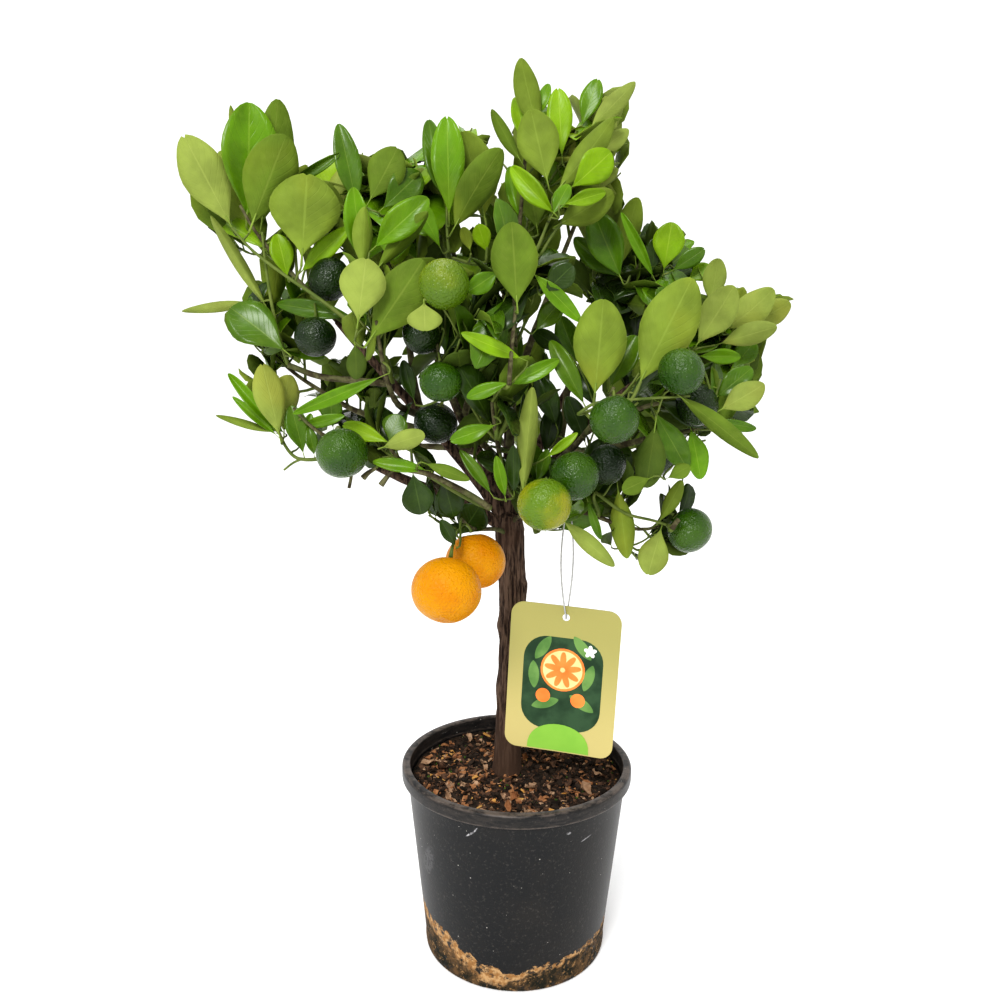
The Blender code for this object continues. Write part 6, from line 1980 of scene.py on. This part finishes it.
@dataclass
class Card:
    """The hanging card with its printed picture, its eyelet and its loop of thread."""

    wood: Wood
    bough: str = "low_right"
    bough_share: float = 0.86
    width: float = 0.084
    height: float = 0.117
    thickness: float = 0.0008
    corner: float = 0.010
    turn: float = math.radians(2.5)
    yaw: float = math.radians(-12)
    eyelet_radius: float = 0.0028
    eyelet_drop: float = 0.009
    eyelet_height: float = 0.299
    thread_radius: float = 0.00062
    print_step: float = 0.00006
    bend: float = 0.0010

    def place(self) -> Matrix:
        """Gives the card's place: its eyelet hangs plumb below the bough, and it turns a little."""
        hook = self.wood.paths[self.bough].at(self.bough_share)[0]
        eyelet = Vector((hook.x, hook.y, self.eyelet_height))
        turn = Matrix.Rotation(self.yaw, 4, "Z") @ Matrix.Rotation(self.turn, 4, "Y")
        turn = turn @ Matrix.Rotation(math.radians(90), 4, "X")
        hang = Matrix.Translation((0.0, self.eyelet_drop - self.height / 2, 0.0))
        return Matrix.Translation(eyelet) @ turn @ hang

    def bent(self, shape: bmesh.types.BMesh) -> None:
        """Bends a flat mesh a little, hollow towards the front, and sets it in place."""
        for vertex in shape.verts:
            vertex.co.z += self.bend * ((vertex.co.x / (self.width / 2)) ** 2 - 0.5)
        bmesh.ops.transform(shape, matrix=self.place(), verts=shape.verts)

    def outline(self) -> list[tuple[float, float]]:
        """Gives the outline of the card, with round corners."""
        across, up = self.width / 2 - self.corner, self.height / 2 - self.corner
        points = []
        for side_x, side_y, first in ((1, -1, -90), (1, 1, 0), (-1, 1, 90), (-1, -1, 180)):
            points += arc((side_x * across, side_y * up), self.corner, first, first + 90, 9)
        return points

    def make_board(self, board: bpy.types.Material) -> bpy.types.Object:
        """Makes the card itself, with its eyelet cut through.

        Args:
            board: Its material.

        Returns:
            The piece.
        """
        centre = (0.0, self.height / 2 - self.eyelet_drop)
        hole = arc(centre, self.eyelet_radius, 360, 20, 18)
        shape = bmesh.new()
        edges = []
        for ring in (self.outline(), hole):
            corners = [shape.verts.new((x, y, self.thickness / 2)) for x, y in ring]
            edges += [shape.edges.new(pair) for pair in zip(corners, corners[1:] + corners[:1])]
        bmesh.ops.triangle_fill(shape, edges=edges, use_beauty=True, use_dissolve=False)
        for _ in range(3):
            longest = [edge for edge in shape.edges if edge.calc_length() > 0.012]
            bmesh.ops.subdivide_edges(shape, edges=longest, cuts=1)
            bmesh.ops.triangulate(shape, faces=shape.faces)
        back = bmesh.ops.extrude_face_region(shape, geom=shape.faces[:], use_keep_orig=True)["geom"]
        bmesh.ops.translate(shape, vec=(0, 0, -self.thickness),
                            verts=[bit for bit in back if isinstance(bit, bmesh.types.BMVert)])
        bmesh.ops.recalc_face_normals(shape, faces=shape.faces)
        uv = shape.loops.layers.uv.new("UVMap")
        for face in shape.faces:
            for loop in face.loops:
                loop[uv].uv = (loop.vert.co.x / self.width + 0.5, loop.vert.co.y / self.height + 0.5)
        self.bent(shape)
        piece = object_from("card_board", shape, [board])
        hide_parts("label_card")
        return piece

    def print_shape(self, gathering: Gathering, points: Sequence[tuple[float, float]], layer: int, slot: int) -> None:
        """Adds one printed shape, a thin inlay that stands out by its layer's height.

        Args:
            gathering: The piece that takes it.
            points: Its outline on the card.
            layer: Its layer, from 1.
            slot: Its material's slot.
        """
        shape = bmesh.new()
        top = self.thickness / 2 + self.print_step * layer
        corners = [shape.verts.new((x, y, top)) for x, y in points]
        edges = [shape.edges.new(pair) for pair in zip(corners, corners[1:] + corners[:1])]
        bmesh.ops.triangle_fill(shape, edges=edges, use_beauty=True, use_dissolve=False)
        for _ in range(2):
            longest = [edge for edge in shape.edges if edge.calc_length() > 0.010]
            bmesh.ops.subdivide_edges(shape, edges=longest, cuts=1)
            bmesh.ops.triangulate(shape, faces=shape.faces)
        bmesh.ops.recalc_face_normals(shape, faces=shape.faces)
        if shape.faces[:][0].normal.z < 0:
            bmesh.ops.reverse_faces(shape, faces=shape.faces)
        low = bmesh.ops.extrude_face_region(shape, geom=shape.faces[:], use_keep_orig=True)["geom"]
        verts = [bit for bit in low if isinstance(bit, bmesh.types.BMVert)]
        bmesh.ops.translate(shape, vec=(0, 0, -self.print_step * (layer + 0.5)), verts=verts)
        bmesh.ops.recalc_face_normals(shape, faces=shape.faces)
        uv = shape.loops.layers.uv.new("UVMap")
        for face in shape.faces:
            for loop in face.loops:
                loop[uv].uv = (loop.vert.co.x / self.width + 0.5, loop.vert.co.y / self.height + 0.5)
        self.bent(shape)
        gathering.add(Template.of(shape), slots=[slot])

    def ellipse(self, x: float, y: float, wide: float, high: float, turn: float = 0.0,
                points: float = 1.0) -> list[tuple[float, float]]:
        """Gives an ellipse on the card, in millimetres from its middle, or a pointed leaf.

        Args:
            x: Its middle across the card.
            y: Its middle up the card.
            wide: Half its length.
            high: Half its height.
            turn: Its turn in degrees.
            points: 1 for an ellipse, and more for ends that are more pointed.

        Returns:
            The outline.
        """
        angle = math.radians(turn)
        outline = []
        for step in range(28):
            t = math.tau * step / 28
            across = wide * math.cos(t)
            up = high * math.copysign(abs(math.sin(t)) ** points, math.sin(t))
            outline.append(((x + across * math.cos(angle) - up * math.sin(angle)) / 1000,
                            (y + across * math.sin(angle) + up * math.cos(angle)) / 1000))
        return outline

    def make_print(self, inks: Sequence[bpy.types.Material]) -> bpy.types.Object:
        """Makes the printed picture: a halved citrus fruit, leaves and blossom over a pale green wave.

        Args:
            inks: Dark green, leaf green, orange, pale orange, white and band green.

        Returns:
            The piece.
        """
        art = Gathering("card_picture", inks)
        panel = []
        for side_x, side_y, first in ((1, -1, -90), (1, 1, 0), (-1, 1, 90), (-1, -1, 180)):
            panel += arc((side_x * 0.0125, -0.0035 + side_y * 0.0190), 0.0180, first, first + 90, 9)
        self.print_shape(art, panel, 1, 0)
        for x, y, turn in ((-16, 24, 60), (14, 27, 130), (-22, 2, 95), (20, 4, 75), (-12, -20, 20), (16, -17, 150)):
            self.print_shape(art, self.ellipse(x, y, 11.0, 4.2, turn, 1.5), 2, 1)
        self.print_shape(art, self.ellipse(0, 8, 17.0, 17.0), 3, 2)
        self.print_shape(art, self.ellipse(0, 8, 15.2, 15.2), 4, 3)
        for number in range(9):
            angle = 40 * number + 10
            x = 8.0 * math.cos(math.radians(angle))
            y = 8 + 8.0 * math.sin(math.radians(angle))
            self.print_shape(art, self.ellipse(x, y, 6.2, 2.35, angle, 0.8), 5, 2)
        for x, y in ((-14, -14), (13, -15)):
            self.print_shape(art, self.ellipse(x, y, 5.6, 5.6), 3, 2)
        for number in range(5):
            angle = 72 * number + 18
            x = 20 + 2.6 * math.cos(math.radians(angle))
            y = 25 + 2.6 * math.sin(math.radians(angle))
            self.print_shape(art, self.ellipse(x, y, 2.4, 1.5, angle), 6, 4)
        band = [(-0.024, -0.0575), (0.024, -0.0575)]
        band += [(0.024 * math.cos(math.radians(t)), -0.0575 + 0.0215 * math.sin(math.radians(t)) ** 0.8)
                 for t in range(10, 171, 10)]
        self.print_shape(art, band, 6, 5)
        return art.build()

    def make_thread(self, cotton: bpy.types.Material) -> bpy.types.Object:
        """Makes the loop of thread through the eyelet and over the bough.

        Args:
            cotton: Its material.

        Returns:
            The piece.
        """
        hook, heading, radius = self.wood.paths[self.bough].at(self.bough_share)
        side = heading.cross(UP).normalized()
        if side.y > 0:
            side = -side
        front = Vector((math.sin(self.yaw), -math.cos(self.yaw), 0.0))
        low = Vector((hook.x, hook.y, self.eyelet_height + 0.001))
        loop = radius + self.thread_radius
        points = []
        for step in range(9):
            angle = math.pi * step / 8
            points.append(low - (front * math.cos(angle) + UP * math.sin(angle)) * 0.0017)
        for step in range(1, 12):
            share = step / 12
            bow = math.sin(math.pi * share) * 0.0038
            points.append(points[8].lerp(hook + side * loop, share) + Vector((-bow, 0.0, 0.0)))
        for step in range(9):
            angle = math.pi * step / 8
            points.append(hook + (side * math.cos(angle) + UP * math.sin(angle)) * loop)
        for step in range(1, 12):
            share = step / 12
            bow = math.sin(math.pi * share) * 0.0034
            points.append((hook - side * loop).lerp(points[0], share) + Vector((bow, 0.0, 0.0)))
        points.append(points[0].copy())
        shape = sweep(Path(points, [self.thread_radius] * len(points)), 6)
        piece = object_from("card_thread", shape, [cotton])
        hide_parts("label_thread")
        return piece


@dataclass(frozen=True)
class CardFinish:
    """The card's ground: olive at the top and pale yellow-green at the foot, under a satin film."""

    name: str = "card_ground"
    high: Colour = (0.292, 0.268, 0.070)
    low: Colour = (0.445, 0.370, 0.128)

    def make(self) -> bpy.types.Material:
        """Makes the material, which runs along the card's own UV map."""
        graph = Graph(self.name)
        rise = graph.add("SeparateXYZ", {"Vector": graph.add("TexCoord").outputs["UV"]}).outputs["Y"]
        ground = graph.mix(graph.step(rise, 0.05, 0.85), self.low, self.high)
        fibre = graph.noise(900.0, 2.0)
        return graph.finish(ground, 0.34, graph.bump(fibre, 0.05, 0.0001))


# The studio


@dataclass
class Studio:
    """The camera of the photograph, soft light, and a plain pale floor."""

    view: Viewpoint

    def make_camera(self) -> None:
        """Makes the camera at the photograph's viewing angle."""
        right, up, forward = self.view.axes()
        camera = bpy.data.objects.new("camera", bpy.data.cameras.new("camera"))
        camera.data.lens = self.view.lens
        camera.data.sensor_width = self.view.sensor
        camera.data.clip_start = 0.01
        turn = Matrix((right, up, -forward)).transposed().to_4x4()
        camera.matrix_world = Matrix.Translation(self.view.place) @ turn
        bpy.context.scene.collection.objects.link(camera)
        bpy.context.scene.camera = camera

    def make_light(self, name: str, place: Place, size: float, energy: float) -> None:
        """Makes a square area light that looks at the middle of the tree."""
        light = bpy.data.lights.new(name, "AREA")
        light.size = size
        light.energy = energy
        item = bpy.data.objects.new(name, light)
        item.location = place
        aim = Vector((0.0, 0.0, 0.40)) - Vector(place)
        item.rotation_euler = aim.to_track_quat("-Z", "Y").to_euler()
        bpy.context.scene.collection.objects.link(item)

    def make(self) -> None:
        """Makes the floor, the sky's soft light, the lamps and the camera."""
        world = bpy.data.worlds.new("studio")
        bpy.context.scene.world = world
        world.use_nodes = True
        world.node_tree.nodes["Background"].inputs["Color"].default_value = (1.0, 1.0, 1.0, 1.0)
        world.node_tree.nodes["Background"].inputs["Strength"].default_value = 1.0
        shape = bmesh.new()
        bmesh.ops.create_grid(shape, x_segments=1, y_segments=1, size=6.0)
        graph = Graph("floor_white")
        floor = object_from("floor", shape, [graph.finish((1.0, 1.0, 1.0), 0.9, Specular_IOR_Level=0.0)])
        self.make_light("key_light", (-0.35, -1.45, 1.45), 0.50, 21.0)
        self.make_light("top_light", (-0.3, 0.2, 2.3), 1.0, 11.0)
        self.make_camera()
        bpy.context.scene.view_settings.view_transform = "Standard"
        bpy.context.scene.view_settings.look = "Medium High Contrast"


def write_sizes() -> None:
    """Updates the view layer; it writes nothing."""
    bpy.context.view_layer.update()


def main() -> None:
    """Builds the tree, its pot and its card, and sets them in the studio."""
    logging.basicConfig(level=logging.INFO, format="%(message)s")
    bark = BarkFinish("bark_old", (0.120, 0.078, 0.055), (0.018, 0.010, 0.007), (0.050, 0.027, 0.017),
                      (1.0, 1.0, 0.10), 480.0).make()
    young = BarkFinish("bark_young", (0.120, 0.115, 0.055), (0.050, 0.040, 0.022), (0.075, 0.095, 0.030),
                       (1.0, 1.0, 1.0), 160.0).make()
    green = PlainFinish("bark_green", (0.080, 0.115, 0.020), (0.135, 0.170, 0.038), 0.5, 90.0).make()
    view = Viewpoint()
    wood = Wood()
    pieces = [wood.make_trunk(bark), wood.make_boughs([bark, young])]
    crown = Crown(wood, view)
    pieces += crown.make_leaves()
    twigs = crown.make_twigs(young, green)
    pieces.append(twigs)
    peels = {
        "dark": PeelFinish("peel_dark", (0.004, 0.014, 0.001), (0.010, 0.026, 0.001), (0.020, 0.048, 0.006),
                           0.22).make(),
        "green": PeelFinish("peel_green", (0.016, 0.052, 0.001), (0.034, 0.084, 0.002), (0.070, 0.140, 0.010),
                            0.22).make(),
        "bright": PeelFinish("peel_bright", (0.068, 0.128, 0.002), (0.130, 0.175, 0.003), (0.19, 0.28, 0.02),
                             0.26, 0.12).make(),
        "turning": PeelFinish("peel_turning", (0.085, 0.155, 0.002), (0.220, 0.225, 0.003), (0.24, 0.33, 0.02),
                              0.26, 0.12).make(),
        "ripe": PeelFinish("peel_ripe", (0.490, 0.178, 0.0003), (0.530, 0.228, 0.0004), (0.50, 0.125, 0.0008),
                           0.36, 0.22, 0.40).make(),
    }
    fruit = FruitMaker().make(crown, peels, green)
    pieces += fruit
    pieces.append(Pot().make(PotFinish().make()))
    mix = PottingMix()
    soil = PlainFinish("mix_black", (0.014, 0.010, 0.007), (0.042, 0.028, 0.019), 0.9, 140.0, 0.8, 0.001).make()
    litter = [soil] + [PlainFinish(name, first, second, 0.85, 220.0, 0.5, 0.0006).make() for name, first, second in (
        ("mix_brown", (0.062, 0.033, 0.020), (0.125, 0.068, 0.040)),
        ("mix_rust", (0.240, 0.105, 0.045), (0.390, 0.190, 0.085)),
        ("mix_tan", (0.280, 0.170, 0.100), (0.460, 0.300, 0.190)),
        ("mix_yellow", (0.480, 0.240, 0.060), (0.560, 0.330, 0.110)),
        ("mix_moss", (0.030, 0.060, 0.010), (0.070, 0.120, 0.020)))]
    pieces.append(mix.make_ground(soil))
    litter_pieces = mix.make_litter(litter)
    pieces += litter_pieces
    card = Card(wood)
    pieces.append(card.make_board(CardFinish().make()))
    inks = [PlainFinish(name, first, second, 0.36, 60.0, 0.0).make() for name, first, second in (
        ("ink_dark_green", (0.012, 0.035, 0.014), (0.030, 0.070, 0.030)),
        ("ink_leaf_green", (0.075, 0.170, 0.040), (0.140, 0.260, 0.070)),
        ("ink_orange", (0.850, 0.170, 0.030), (0.900, 0.230, 0.050)),
        ("ink_pale_orange", (0.880, 0.480, 0.200), (0.900, 0.560, 0.260)),
        ("ink_white", (0.880, 0.880, 0.820), (0.900, 0.900, 0.860)),
        ("ink_band_green", (0.185, 0.385, 0.045), (0.205, 0.410, 0.050)))]
    picture = card.make_print(inks)
    pieces += [picture, card.make_thread(PlainFinish("thread_cotton", (0.33, 0.33, 0.32), (0.44, 0.44, 0.42), 0.8,
                                                     400.0).make())]
    for piece in pieces:
        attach(piece, BODY)
        LOG.info("%s: %d faces", piece.name, len(piece.data.polygons))
    Studio(view).make()
    write_sizes()


if __name__ == "__main__":
    main()
